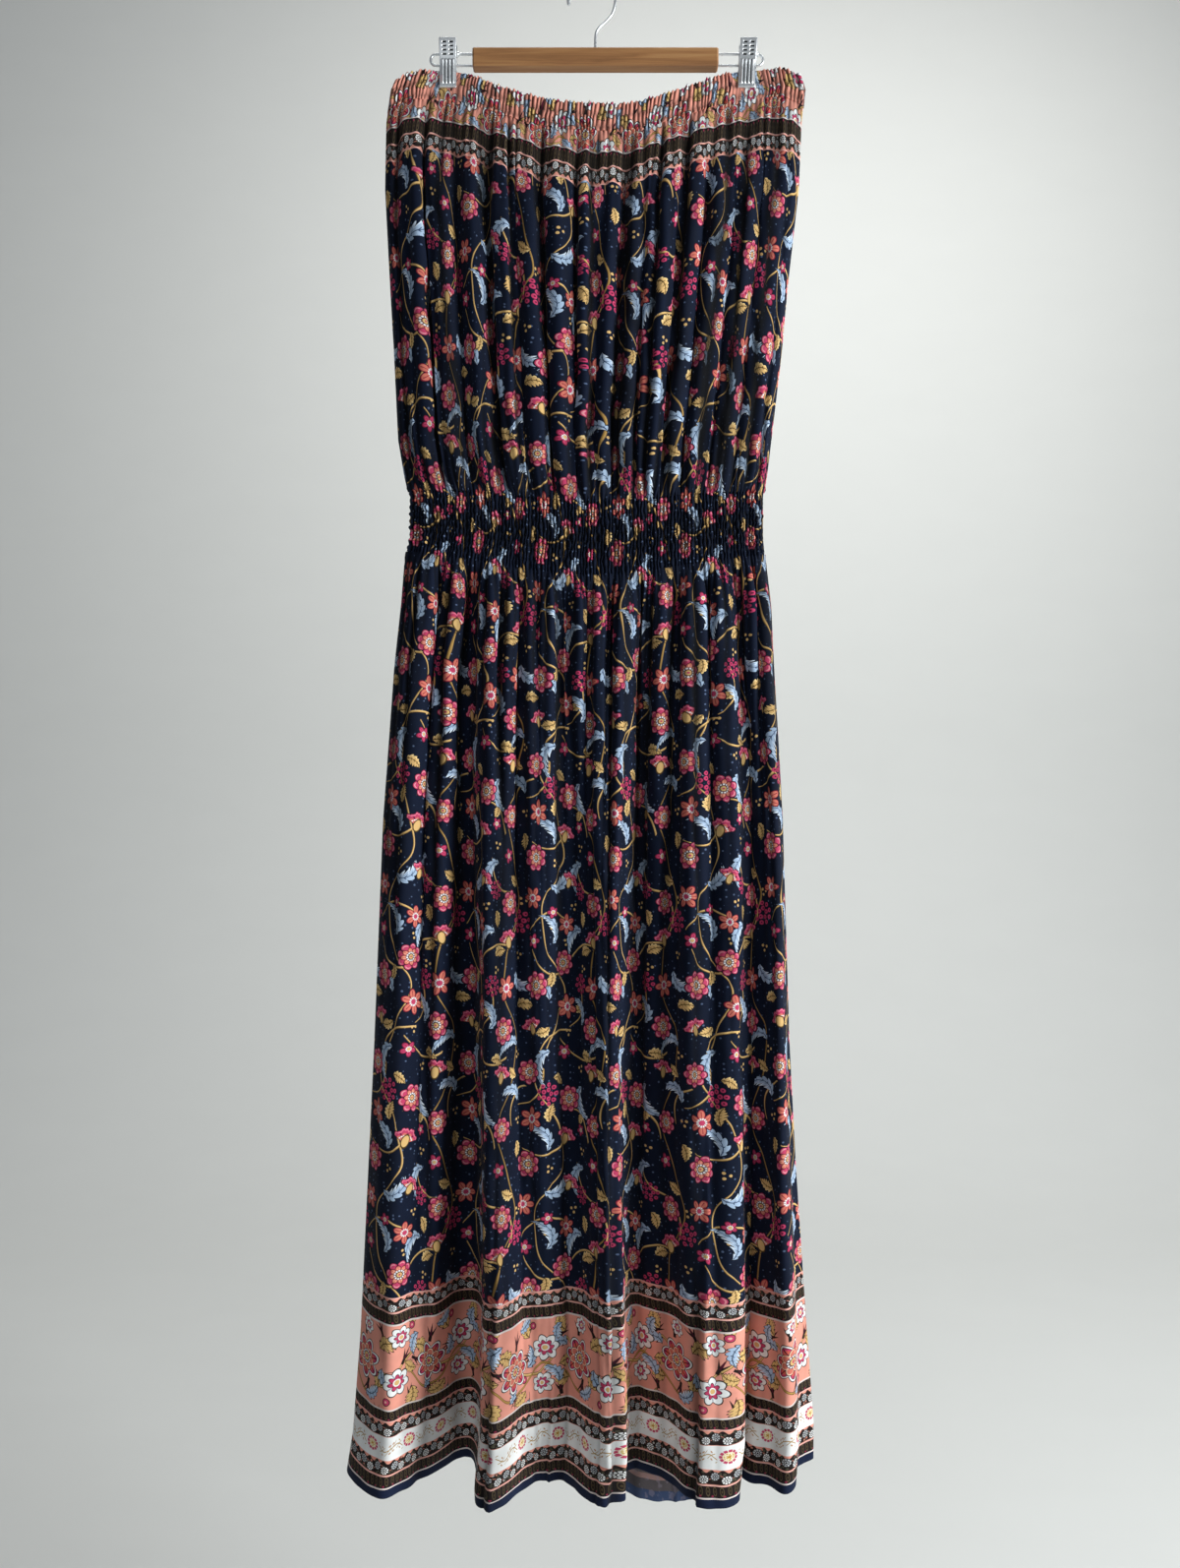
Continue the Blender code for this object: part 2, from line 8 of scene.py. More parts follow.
import bpy
import numpy as np
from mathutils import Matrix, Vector


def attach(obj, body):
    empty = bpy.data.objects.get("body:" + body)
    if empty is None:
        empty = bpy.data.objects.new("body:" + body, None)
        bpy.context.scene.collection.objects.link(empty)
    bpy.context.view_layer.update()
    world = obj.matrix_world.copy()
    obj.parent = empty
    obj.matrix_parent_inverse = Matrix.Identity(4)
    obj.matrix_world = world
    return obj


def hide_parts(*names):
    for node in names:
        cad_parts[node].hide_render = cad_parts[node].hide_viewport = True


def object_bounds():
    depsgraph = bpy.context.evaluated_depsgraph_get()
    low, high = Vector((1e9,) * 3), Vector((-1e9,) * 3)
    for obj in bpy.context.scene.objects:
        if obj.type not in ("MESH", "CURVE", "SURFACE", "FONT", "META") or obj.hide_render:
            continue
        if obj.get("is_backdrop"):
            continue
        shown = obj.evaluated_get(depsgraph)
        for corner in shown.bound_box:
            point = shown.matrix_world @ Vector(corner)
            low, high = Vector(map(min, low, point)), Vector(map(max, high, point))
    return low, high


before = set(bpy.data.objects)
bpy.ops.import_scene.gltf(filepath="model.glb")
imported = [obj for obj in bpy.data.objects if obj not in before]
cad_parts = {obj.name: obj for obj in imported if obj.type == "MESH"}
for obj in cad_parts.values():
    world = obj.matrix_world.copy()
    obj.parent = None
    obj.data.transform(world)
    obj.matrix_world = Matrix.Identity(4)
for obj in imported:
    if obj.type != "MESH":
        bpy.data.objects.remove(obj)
cad_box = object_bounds()

MM = 0.001
# The hook's round stands this far left of the bar's middle.
MIDDLE = 3.1
SEAM_GAP = 0.3
SIDES = ("front", "back")
# The way out of each side in depth, and the seed of its gathers.
OUTWARDS = {"front": -1, "back": 1}
SEEDS = {"front": 11, "back": 12}

# The silhouette: height, left edge, right edge.
OUTLINE = (
    (-84, -176, 184), (-100, -184, 189), (-131, -188.5, 186), (-191, -189.5, 183.5),
    (-278, -185, 173.5), (-339, -181.5, 168), (-415, -178, 159), (-448, -172.5, 155),
    (-467, -168, 152), (-503, -168, 152), (-528, -172.5, 154), (-565, -175.5, 158.5),
    (-619, -181.5, 161), (-760, -192, 169), (-959, -200, 176), (-1073, -205.5, 182.5),
    (-1220, -212.5, 193), (-1311, -219.5, 200), (-1346, -225, 200),
)

# The neckline, which sags between the clips: across, height.
NECK_EDGE = (
    (-185, -100), (-174, -90.5), (-150, -84.5), (-120, -86), (-88, -99), (-40, -113), (0, -117),
    (30, -116.5), (64, -107), (95, -96), (120, -86.5), (152, -83.5), (178, -86), (190, -95),
)
# The lower edge of the casing: share across in hundredths, height.
CASING_LOW = (
    (0, -122), (4, -114), (10, -110), (16, -112), (26, -124), (38, -137), (50, -142),
    (58, -141.5), (67, -133), (76, -121.5), (84, -112), (91, -109), (96, -111), (100, -117),
)

# Edges of the shirred waist and of the hems: share across in hundredths, height.
WAIST_TOP = ((0, -463), (20, -466), (50, -475), (80, -468), (100, -464))
WAIST_LOW = ((0, -517), (20, -527), (50, -540), (80, -530), (100, -520))
FRONT_HEM = ((0, -1346), (6, -1351), (50, -1350), (94, -1350), (100, -1345))
BACK_HEM = (
    (0, -1346), (10, -1357), (35, -1368), (58, -1383), (68, -1404), (74, -1407), (81, -1377),
    (90, -1362), (100, -1345),
)

# The casing, pinched flat in the clips: share across, depth of the front, of the back.
CASING_DEPTH = (
    (0, 0, 0), (0.8, -3.2, 3.2), (6, -4.4, 4.8), (9.0, -2.0, 2.0), (15.6, -2.0, 2.0),
    (24, -5.2, 6.5), (50, -9.0, 10.0), (77, -5.4, 6.2), (83.2, -2.0, 2.0), (90.2, -2.0, 2.0),
    (94.5, -4.0, 4.4), (99.2, -3.2, 3.2), (100, 0, 0),
)

# Half depth of the hollow at the bust and at the waist.
BUST_DEPTH = {"front": -21.0, "back": 18.0}
WAIST_DEPTH = {"front": -13.5, "back": 12.5}

# Valleys between the bodice's soft folds: share at the neck, at the waist, depth.
BODICE_VALLEYS = {
    "front": (
        (6, 5, 3.0), (10, 12, 4.5), (17, 19.5, 5.5), (25, 28, 5.0), (31.5, 35, 4.0),
        (38, 42, 5.0), (45.5, 48, 5.5), (52, 52.5, 3.5), (57.5, 57, 4.5), (63.5, 64, 5.0),
        (71, 70, 4.5), (77.5, 75.5, 5.5), (84.5, 82.5, 5.0), (91, 90.5, 4.5), (96, 96, 3.0),
    ),
    "back": (
        (8, 9, 4.0), (17, 18, 5.0), (27, 28, 4.5), (37, 38, 5.5), (47, 48, 4.0), (57, 57, 5.0),
        (67, 66, 5.5), (78, 76, 4.5), (87, 85, 5.0), (94, 94, 3.5),
    ),
}

# Side seams of the skirt: share and depth under the waist, at the knee, at the hem.
LEFT_SEAM = (0, 1, 0, 3, 0, 5)
RIGHT_SEAM = (100, 1, 100, 6, 100, 17)

# Fold lines of the skirt from left to right, each a ridge or a valley of the cloth:
# share and depth under the waist, share and depth at the knee, share and depth at the hem.
SKIRT_FOLDS = {
    "front": (
        (1.1, -7, 1.4, -10, 1.8, -12), (6.2, -14, 6.3, -24, 8.4, -31),
        (10.9, -5, 11, -7, 12.6, -14), (14.6, -12, 14.9, -14, 16.9, 8),
        (16.9, -4, 18.2, 6, 21.3, 30), (19.3, -3, 22.6, 12, 25.2, 38),
        (21.7, -7, 25.6, -2, 27.8, 14), (24, -14, 27.2, -22, 28.4, -30),
        (26.5, -9, 29.3, -27, 30.4, -42), (29.2, -14, 31.6, -24, 33.2, -34),
        (32, -5, 34.2, -11, 36.6, -16), (35, -13, 38, -20, 39.7, -6),
        (37.4, -6, 40, -21, 42, -3), (39.8, -13, 42.2, -18, 44.3, -3),
        (44, -4, 46, -6, 47.2, -8), (47.4, -12, 50, -9, 49.6, -24),
        (50.2, -6, 52, -16, 51.8, -37), (53.2, -13, 53.9, -24, 53.8, -44),
        (56.9, -5, 55.8, -30, 55.5, -45), (60.2, -13, 57.6, -27, 56.6, -28),
        (62.6, -8, 59.4, -10, 56.6, -6), (65, -4, 62.2, 5, 58.4, 11),
        (67.8, -9, 64.9, 4, 61.5, 16), (70.8, -13, 67.4, -4, 64.8, 11),
        (75.2, -5, 72.1, -8, 68.8, -4), (79, -14, 76.2, -26, 72.5, -26),
        (82.7, -6, 80.6, -18, 76.2, -35), (86, -13, 84.8, -26, 79.6, -35),
        (88.4, -9, 87, -22, 81.8, -24), (90.5, -5, 89.2, -9, 82.4, 1),
        (92.3, -9, 91.2, -3, 84, 9), (94, -13, 93.1, -8, 86, -3), (95.9, -6, 95, -18, 89, -9),
        (97.5, -10, 96.7, -23, 92, -25), (98.6, -8, 98.2, -14, 94.4, -18),
        (99.4, -4, 99.4, -3, 95.8, 6), (99.8, -1.5, 99.9, 2, 97.6, 12),
    ),
    "back": (
        (1, 8, 1.2, 12, 1.6, 20), (4.5, 12, 4.5, 20, 5, 33), (8, 6, 8, 12, 9, 25),
        (11.5, 13, 11.5, 22, 13, 42), (15, 6, 15, 15, 17, 40), (18.5, 13, 19, 25, 21, 50),
        (22, 6, 22.5, 24, 25, 53), (25.5, 13, 26, 28, 29, 52), (29, 6, 30, 17, 33, 38),
        (32.5, 13, 33.5, 18, 36.5, 30), (36, 6, 37, 14, 39.5, 34), (40, 13, 41, 24, 43, 48),
        (44, 6, 45, 18, 46.5, 54), (47.5, 13, 48.5, 26, 50, 56), (51.5, 6, 52.5, 16, 53.5, 50),
        (55, 13, 56, 18, 57, 40), (59, 6, 60, 14, 60.5, 35), (62.5, 13, 64, 23, 65, 42),
        (66.5, 6, 67.5, 20, 69, 52), (70.5, 13, 71.5, 28, 73, 57), (74.5, 6, 75, 18, 76.5, 52),
        (78, 13, 79, 18, 80, 40), (82, 6, 82.5, 12, 84, 31), (86, 13, 86.5, 22, 88, 38),
        (90, 6, 90.5, 16, 91.5, 43), (94, 12, 94.5, 20, 95, 38), (98.8, 7, 98.8, 13, 98.9, 28),
    ),
}
# How far down the skirt the knee rows of the table lie.
KNEE = 0.43


def column(table, index):
    return np.array([row[index] for row in table], float)


def along(table, at, value=1, key=0):
    """The table's value at these keys, which may run down or up."""
    keys = column(table, key)
    order = np.argsort(keys)
    return np.interp(at, keys[order], column(table, value)[order])


def ease(t):
    t = np.clip(t, 0, 1)
    return t * t * (3 - 2 * t)


def through_three(low, middle, high, t, middle_at):
    """The parabola through three values at 0, middle_at and 1."""
    a = (t - middle_at) * (t - 1) / middle_at
    b = t * (t - 1) / (middle_at * (middle_at - 1))
    c = t * (t - middle_at) / (1 - middle_at)
    return low * a + middle * b + high * c


def across(share, z):
    left = along(OUTLINE, z, 1)
    right = along(OUTLINE, z, 2)
    return left + (right - left) * share / 100


def smooth_along(table, at):
    """A smooth curve through the table's rows, with their mean slopes as its tangents."""
    keys, values = column(table, 0), column(table, 1)
    slopes = np.gradient(values, keys)
    row = np.clip(np.searchsorted(keys, at, side="right") - 1, 0, len(keys) - 2)
    width = keys[row + 1] - keys[row]
    t = np.clip((at - keys[row]) / width, 0, 1)
    rise = values[row + 1] - values[row]
    start = width * slopes[row]
    end = width * slopes[row + 1]
    return values[row] + start * t + (3 * rise - 2 * start - end) * t**2 + (
        start + end - 2 * rise
    ) * t**3


def neck_height(share):
    """Height of the neckline at a share across, which itself depends on the height."""
    z = np.full_like(share, -100.0)
    for _ in range(4):
        z = smooth_along(NECK_EDGE, across(share, z))
    return z


def oval(share, depth):
    """A flattened oval's depth, 0 at both seams."""
    return depth * np.sqrt(1 - np.abs(share / 50 - 1) ** 6)


def casing_depth(side, share):
    return along(CASING_DEPTH, share, 1 if side == "front" else 2)


def bodice_lines(side, v):
    """Shares and depths of the bodice's lines at v, 0 at the casing and 1 at the waist."""
    valleys = BODICE_VALLEYS[side]
    at_neck, at_waist = column(valleys, 0), column(valleys, 1)
    share = ease(0.75 * v) * (at_waist - at_neck) + at_neck
    deep = column(valleys, 2)
    ridges = (share[1:] + share[:-1]) / 2
    swell = -(deep[1:] + deep[:-1]) / 4
    between = np.ravel(np.column_stack([share[:-1], ridges]))
    shares = np.concatenate([[0, 0.8], between, share[-1:], [99.2, 100]])
    between = np.ravel(np.column_stack([deep[:-1], swell]))
    relief = np.concatenate([[0, 0], between, deep[-1:], [0, 0]])
    pinched = casing_depth(side, shares)
    bust = oval(shares, BUST_DEPTH[side])
    waist = oval(shares, WAIST_DEPTH[side])
    base = pinched + (bust - pinched) * ease(v / 0.4)
    base = base + (waist - base) * ease((v - 0.45) / 0.55)
    strength = ease(v / 0.35) - 0.45 * ease((v - 0.7) / 0.3)
    return shares, base - OUTWARDS[side] * relief * strength


def skirt_lines(side, v):
    """Shares and depths of the skirt's lines at v, 0 at the waist and 1 at the hem."""
    table = (LEFT_SEAM, *SKIRT_FOLDS[side], RIGHT_SEAM)
    values = [column(table, index) for index in range(6)]
    shares = through_three(values[0], values[2], values[4], v, KNEE)
    depths = through_three(values[1], values[3], values[5], v, KNEE)
    return shares, depths


def skirt_span(side, shares):
    top = smooth_along(WAIST_LOW, shares)
    low = smooth_along(FRONT_HEM if side == "front" else BACK_HEM, shares)
    return top, low


class Value:
    """A socket in a material; arithmetic on it adds Math nodes."""

    def __init__(self, tree, socket):
        self.tree, self.socket = tree, socket

    def math(self, operation, *others):
        return add(self.tree, "ShaderNodeMath", enumerate((self, *others)), operation=operation)

    def vector(self, operation, *others, output=0):
        inputs = enumerate((self, *others))
        return add(self.tree, "ShaderNodeVectorMath", inputs, output, operation=operation)

    def __add__(self, other):
        return self.math("ADD", other)

    def __sub__(self, other):
        return self.math("SUBTRACT", other)

    def __rsub__(self, other):
        return add(self.tree, "ShaderNodeMath", enumerate((other, self)), operation="SUBTRACT")

    def __mul__(self, other):
        return self.math("MULTIPLY", other)

    def __truediv__(self, other):
        return self.math("DIVIDE", other)

    def abs(self):
        return self.math("ABSOLUTE")

    def sin(self):
        return self.math("SINE")

    def cos(self):
        return self.math("COSINE")

    def root(self):
        return self.math("SQRT")

    def smaller(self, other):
        return self.math("MINIMUM", other)

    def larger(self, other):
        return self.math("MAXIMUM", other)

    def wrap(self, half):
        return self.math("WRAP", half, -half)

    def length(self):
        return self.vector("LENGTH", output=1)

    def dot(self, other):
        return self.vector("DOT_PRODUCT", other, output=1)

    def step(self, start, end):
        """0 before start and 1 after end, smoothly; start may be the larger."""
        inputs = enumerate((self, start, end))
        return add(self.tree, "ShaderNodeMapRange", inputs, interpolation_type="SMOOTHSTEP")

    def inside(self, edge, soft=0.22):
        return (self - edge).step(soft, -soft)


def feed(slot, value):
    if isinstance(value, Value):
        value.tree.links.new(value.socket, slot)
    else:
        slot.default_value = value


def add(tree, kind, inputs=(), output=0, **attributes):
    """The output of a new node, with its inputs, by name or number, fed from other values."""
    made = tree.nodes.new(kind)
    for name, value in attributes.items():
        setattr(made, name, value)
    for slot, value in dict(inputs).items():
        feed(made.inputs[slot], value)
    return Value(tree, made.outputs[output])


def new_material(name):
    made = bpy.data.materials.new(name)
    made.use_nodes = True
    return made, made.node_tree


def feed_shader(tree, inputs):
    shader = tree.nodes["Principled BSDF"]
    for name, value in inputs.items():
        feed(shader.inputs[name], value)


def colour(text):
    """Linear red, green and blue of a hex colour."""
    parts = np.array([int(text[i : i + 2], 16) for i in (1, 3, 5)]) / 255
    linear = np.where(parts <= 0.04045, parts / 12.92, ((parts + 0.055) / 1.055) ** 2.4)
    return (*(float(part) for part in linear), 1.0)


def mixed(tree, share, first, second):
    """The first colour, or the second where share is 1."""
    inputs = {0: share, 6: first, 7: second}
    return add(tree, "ShaderNodeMix", inputs, 2, data_type="RGBA")


def ramp(tree, at, stops, interpolation="LINEAR"):
    made = add(tree, "ShaderNodeValToRGB", {0: at})
    band = made.socket.node.color_ramp
    band.interpolation = interpolation
    while len(band.elements) < len(stops):
        band.elements.new(0.5)
    for point, (position, text) in zip(band.elements, stops):
        point.position = position
        point.color = colour(text)
    return made


def bumps(tree, height, strength, distance):
    inputs = {"Strength": strength, "Distance": distance, "Height": height}
    return add(tree, "ShaderNodeBump", inputs)


def direction(turn, size=1.0):
    """The unit vector at this many degrees, over size."""
    angle = np.radians(turn)
    return float(np.cos(angle) / size), float(np.sin(angle) / size), 0.0


class Print:
    """The printed side of the cloth: lays motifs over a ground, in millimetres of cloth."""

    def __init__(self, name, ground, enlarged=1.0):
        self.material, self.tree = new_material(name)
        self.metres = self.uv("cloth")
        scale = (1000.0 / enlarged, 1000.0 / enlarged, 0.0)
        self.cloth = self.metres.vector("MULTIPLY", scale)
        self.u, self.v = self.split(self.cloth)
        # The band layer's first value is painted shade for the hollows of gathers, stitch rows and
        # fold edges; its second is the place across a band.
        self.hollow, self.w = self.split(self.uv("band"))
        self.base = add(self.tree, "ShaderNodeRGB")
        self.base.socket.default_value = colour(ground)

    def uv(self, layer):
        return add(self.tree, "ShaderNodeUVMap", uv_map=layer)

    def split(self, vector):
        return vector.dot((1.0, 0.0, 0.0)), vector.dot((0.0, 1.0, 0.0))

    def join(self, x, y):
        return add(self.tree, "ShaderNodeCombineXYZ", enumerate((x, y)))

    def lay(self, text, mask):
        self.base = mixed(self.tree, mask, self.base, colour(text))

    def spot(self, repeat, x, y):
        """Coordinates about one place in the repeat."""
        half = (repeat[0] / 2, repeat[1] / 2, 1.0)
        here = self.cloth.vector("SUBTRACT", (x, y, 0.0))
        return here.vector("WRAP", half, tuple(-h for h in half))

    def nearest(self, repeat, places):
        """Coordinates about the nearest of the places: across, up, turn in degrees, size."""
        best = None
        for x, y, turn, size in places:
            here, its_way = self.spot(repeat, x, y), direction(turn, size)
            far = here.length()
            if best is None:
                best, near, way = here, far, its_way
                continue
            closer = far.math("LESS_THAN", near)
            best = self.either(closer, best, here)
            way = self.either(closer, way, its_way)
            near = near.smaller(far)
        across_way = best.vector("CROSS_PRODUCT", way).dot((0.0, 0.0, -1.0))
        return self.join(best.dot(way), across_way)

    def either(self, chosen, first, second):
        """The first vector, or the second where chosen is 1."""
        inputs = {0: chosen, 4: first, 5: second}
        return add(self.tree, "ShaderNodeMix", inputs, 1, data_type="VECTOR")

    def polar(self, here):
        x, y = self.split(here)
        return here.length(), y.math("ARCTAN2", x)

    def lobes(self, angle, count, shift=0.0):
        """0 between petals and 1 along the middle of each."""
        return (angle * (count / 2) + shift).sin().abs()

    def curled(self, here, rate):
        """Along and across a line from the origin that turns by rate for each millimetre."""
        r, angle = self.polar(here)
        turned = r * rate + angle
        return r * turned.cos(), r * turned.sin()

    def round_dots(self, here, count, out):
        """Distance to the nearest of count points evenly round a circle."""
        r, angle = self.polar(here)
        fold = angle.wrap(np.pi / count)
        return (r * r + out * out - r * fold.cos() * (2 * out)).larger(0.0).root()

    def noise(self, scale, detail):
        inputs = {"Vector": self.metres, "Scale": scale * 1000, "Detail": detail}
        return add(self.tree, "ShaderNodeTexNoise", inputs, noise_dimensions="2D")

    def cells(self, vector, scale, randomness=1.0):
        """Distance to the nearest scattered point, and a random number for each."""
        inputs = {"Vector": vector, "Scale": scale, "Randomness": randomness}
        far = add(self.tree, "ShaderNodeTexVoronoi", inputs, voronoi_dimensions="2D")
        tint = Value(self.tree, far.socket.node.outputs["Color"])
        return far, add(self.tree, "ShaderNodeSeparateColor", {0: tint})

    def finish(self):
        """Slightly uneven dyeing, painted shade in the hollows of the gathers and folds, the
        weave's relief and a soft sheen.
        """
        # Uneven dye tone, times painted shade: the colour is darkened by the hollow value up to
        # nine tenths.
        dye_and_painted_shade = (self.noise(0.05, 3.0).step(0.2, 0.8) * 0.16 + 0.92) * (1 - self.hollow * 0.9)
        inputs = {0: self.base, "Scale": dye_and_painted_shade}
        tint = add(self.tree, "ShaderNodeVectorMath", inputs, operation="SCALE")
        weave = (self.u * 9.4).sin() * (self.v * 8.6).sin()
        relief = weave * 0.5 + self.noise(1.3, 2.0)
        inputs = {
            "Base Color": tint,
            "Normal": bumps(self.tree, relief, 0.3, 0.00035),
            "Roughness": 0.78,
            "Specular IOR Level": 0.12,
            "Sheen Weight": 0.03,
            "Sheen Roughness": 0.45,
        }
        feed_shader(self.tree, inputs)
        return self.material


# Colours of the print.
NAVY, HEM_NAVY, CORAL, MUSTARD = "#081226", "#141e37", "#de9583", "#d2ab6f"
PALE_BLUE, CRIMSON, ORANGE, OFF_WHITE = "#9fb3cb", "#b93d60", "#cb7160", "#e4e4e2"
DARK_BROWN, TAN, PINK_LINE, PETAL_DARK = "#201716", "#5c4f38", "#e0a99e", "#4d1029"
ICE, LEAF_BROWN, STEM_DARK, EDGE_DARK = "#d3deea", "#4a3719", "#8a6a34", "#0b0f1c"

# The repeat of the main print, and where its motifs lie in it: across, up, turn, size.
REPEAT = (104.0, 236.0)
BLOOMS = (
    (17, 12, 0, 1.0), (15, 83, 20, 0.92), (20, 150, -10, 1.05), (55, 60, 35, 1.0),
    (49, 166, 10, 0.95), (88, 42, 0, 0.9), (86, 116, 25, 1.0), (90, 212, 15, 0.95),
)
STARS = (
    (19, 47, 0, 1.0), (14, 217, 30, 0.9), (53, 132, 10, 1.0), (88, 148, 40, 1.0),
    (52, 196, 0, 0.85),
)
FANS = (
    (50, 27, 70, 1.0), (18, 115, 110, 0.95), (85, 79, 80, 1.0), (54, 227, 60, 0.9),
    (89, 181, 100, 1.0),
)
SMALL_FLOWERS = (
    (86, 12, 0, 1.0), (50, 97, 20, 1.0), (16, 184, 40, 1.0), (68, 36, 10, 0.8), (35, 206, 0, 0.8),
)
CLUSTERS = ((33, 66, 0, 1.0), (70, 150, 30, 0.9), (2, 198, 15, 1.0), (70, 222, 0, 0.8))
# Leaves turn about their stalks.
BLUE_LEAVES = (
    (33, 22, 40, 1.0), (70, 70, 200, 1.05), (2, 60, 70, 0.95), (36, 98, 160, 1.0),
    (68, 118, 20, 0.9), (33, 138, 80, 1.05), (101, 160, 250, 1.0), (34, 182, 20, 0.95),
    (70, 190, 140, 1.0), (104, 102, 100, 0.85), (32, 228, 300, 1.0), (72, 6, 150, 0.9),
)
MUSTARD_LEAVES = (
    (36, 44, 120, 1.0), (72, 94, 30, 1.0), (2, 30, 320, 0.9), (34, 118, 240, 0.95),
    (70, 136, 260, 0.9), (2, 132, 50, 1.0), (34, 160, 300, 0.9), (72, 172, 60, 1.0),
    (102, 228, 200, 0.9), (70, 206, 330, 0.9), (38, 78, 10, 0.85), (104, 80, 180, 0.8),
    (68, 52, 300, 0.85),
)
TRIPLE_DOTS = (
    (36, 8, 0, 1.0), (70, 20, 20, 1.0), (4, 46, 40, 1.0), (36, 56, 10, 1.0), (68, 84, 50, 1.0),
    (2, 96, 0, 1.0), (54, 112, 30, 1.0), (2, 172, 20, 1.0), (36, 194, 60, 1.0),
    (74, 162, 0, 1.0), (4, 214, 10, 1.0), (60, 210, 40, 1.0), (52, 182, 15, 0.9),
)
# Arching side stems: across, up, turn, half length, rise.
SIDE_STEMS = (
    (36, 20, 15, 22, 0.021), (70, 48, -35, 20, -0.024), (24, 66, 50, 19, 0.026),
    (66, 92, -15, 23, 0.019), (34, 110, 35, 20, -0.025), (70, 130, 70, 18, 0.028),
    (30, 160, -25, 21, 0.022), (66, 178, 30, 21, -0.022), (100, 196, 75, 18, 0.024),
    (30, 206, 10, 20, -0.026), (72, 226, -40, 20, 0.024), (100, 62, 60, 17, -0.030),
)


def bloom(design, here, reach):
    """A double flower seen from above: dark creases between petals and a dotted light throat."""
    r, angle = design.polar(here)
    petals = 8
    lobe = design.lobes(angle, petals)
    rim = lobe * (reach * 0.22) + reach * 0.76
    design.lay(EDGE_DARK, r.inside(rim + 0.9))
    design.lay(CRIMSON, r.inside(rim))
    design.lay(PETAL_DARK, r.inside(rim) * lobe.step(0.34, 0.16))
    design.lay("#d98a94", (r - rim + 1.1).abs().inside(0.45) * lobe.step(0.5, 0.75))
    turned = design.lobes(angle, petals, np.pi / 2)
    within = turned * (reach * 0.2) + reach * 0.44
    design.lay(PETAL_DARK, r.inside(within + 0.7))
    design.lay(ORANGE, r.inside(within) * turned.step(0.08, 0.3))
    streak = design.lobes(angle, petals * 3)
    design.lay("#e8a58c", r.inside(within - 0.9) * streak.step(0.72, 0.9))
    design.lay(PETAL_DARK, r.inside(reach * 0.37))
    throat = (r - reach * 0.29).abs().inside(reach * 0.055)
    design.lay(OFF_WHITE, throat * design.lobes(angle, 11).step(0.35, 0.6))
    design.lay(MUSTARD, r.inside(reach * 0.17))
    design.lay(CRIMSON, r.inside(reach * 0.07))


def star_flower(design, here, count, reach, petal, edge, heart):
    """A single flower of pointed petals, each with a dark line along it."""
    r, angle = design.polar(here)
    lobe = design.lobes(angle, count)
    point = lobe * (reach * 0.5) + reach * 0.46
    design.lay(EDGE_DARK, r.inside(point + 0.8))
    design.lay(edge, r.inside(point))
    design.lay(petal, r.inside(point - 0.8) * lobe.step(0.3, 0.5))
    design.lay(edge, r.inside(point - 1.6) * lobe.step(0.985, 0.998))
    design.lay(OFF_WHITE, r.inside(reach * 0.34) * design.lobes(angle, count * 2).step(0.3, 0.6))
    design.lay(heart, r.inside(reach * 0.2))


def fan_flower(design, here, reach):
    """A flower seen from the side: a fan of frilled petals out of a green-gold cup."""
    r, angle = design.polar(here)
    frill = design.lobes(angle, 22)
    layer = design.lobes(angle, 9)
    fan = angle.abs().inside(1.16, 0.05)
    rim = frill * 0.9 + layer * 1.6 + (reach - 2.2)
    design.lay(EDGE_DARK, r.inside(rim + 0.8) * angle.abs().inside(1.24, 0.05))
    design.lay(CRIMSON, r.inside(rim) * fan)
    design.lay("#d9728a", (r - rim + 1.0).abs().inside(0.5) * fan)
    design.lay(PETAL_DARK, r.inside(rim - 1.8) * fan * layer.step(0.35, 0.15))
    design.lay(ORANGE, r.inside(layer * 2.2 + reach * 0.48) * fan)
    design.lay(OFF_WHITE, (r - reach * 0.5).abs().inside(0.45) * fan * frill.step(0.3, 0.6))
    x, y = design.split(here)
    cup = design.join((x - 1.4) * 0.62, y)
    design.lay(LEAF_BROWN, cup.length().inside(3.3))
    design.lay(MUSTARD, cup.length().inside(2.6))


def leaf(design, here, size, light, body, shade, edge, cut, lobes):
    """A leaf from its stalk, curling as it grows and cut into forward lobes, with a vein."""
    length, width, curl = size
    x, y = design.curled(here, curl)
    t = (x / length).larger(0.0).smaller(1.0)
    swell = (t * np.pi).sin() * (1.15 - t * 0.3)
    far = y.abs()
    notch = 1 - (x * lobes - far * 0.55).sin().abs()
    half = swell * width * (1 - notch * cut) - 0.5
    design.lay(edge, far.inside(half + 0.75) * x.step(-0.6, 0.2))
    design.lay(body, far.inside(half))
    design.lay(light, far.inside(half) * (far - half * 0.72).step(-0.5, 0.5) * y.step(-0.3, 0.3))
    design.lay(shade, far.inside(half * 0.55) * notch.step(0.62, 0.85))
    design.lay(shade, far.inside(0.33) * half.step(0.2, 0.6))


def side_stem(design, repeat, place, text):
    """An arched side stem, thicker towards one end."""
    x, y, turn, half, rise = place
    width = 0.5
    way = direction(turn)
    here = design.spot(repeat, x, y)
    across_stem, up = here.dot(way), here.dot((-way[1], way[0], 0.0))
    far = up - across_stem * across_stem * rise
    taper = (across_stem * (0.5 * width / half)) + width
    length = across_stem.abs().inside(half)
    design.lay(STEM_DARK, (far + 0.35).abs().inside(taper + 0.15) * length)
    design.lay(text, far.abs().inside(taper) * length)


def climbing_stem(design, repeat, x, sway, start, text, width, upright=True):
    """A stem that winds along the whole cloth."""
    along_it, over = (design.v, design.u) if upright else (design.u, design.v)
    period, spread = (repeat[1], repeat[0]) if upright else repeat
    bend = (along_it * (4 * np.pi / period) + start).sin() * sway
    bend = bend + (along_it * (10 * np.pi / period) + start * 2).sin() * (sway * 0.16)
    far = (over - bend - x).wrap(spread / 2)
    design.lay(STEM_DARK, (far + 0.3).abs().inside(width + 0.15))
    design.lay(text, far.abs().inside(width))


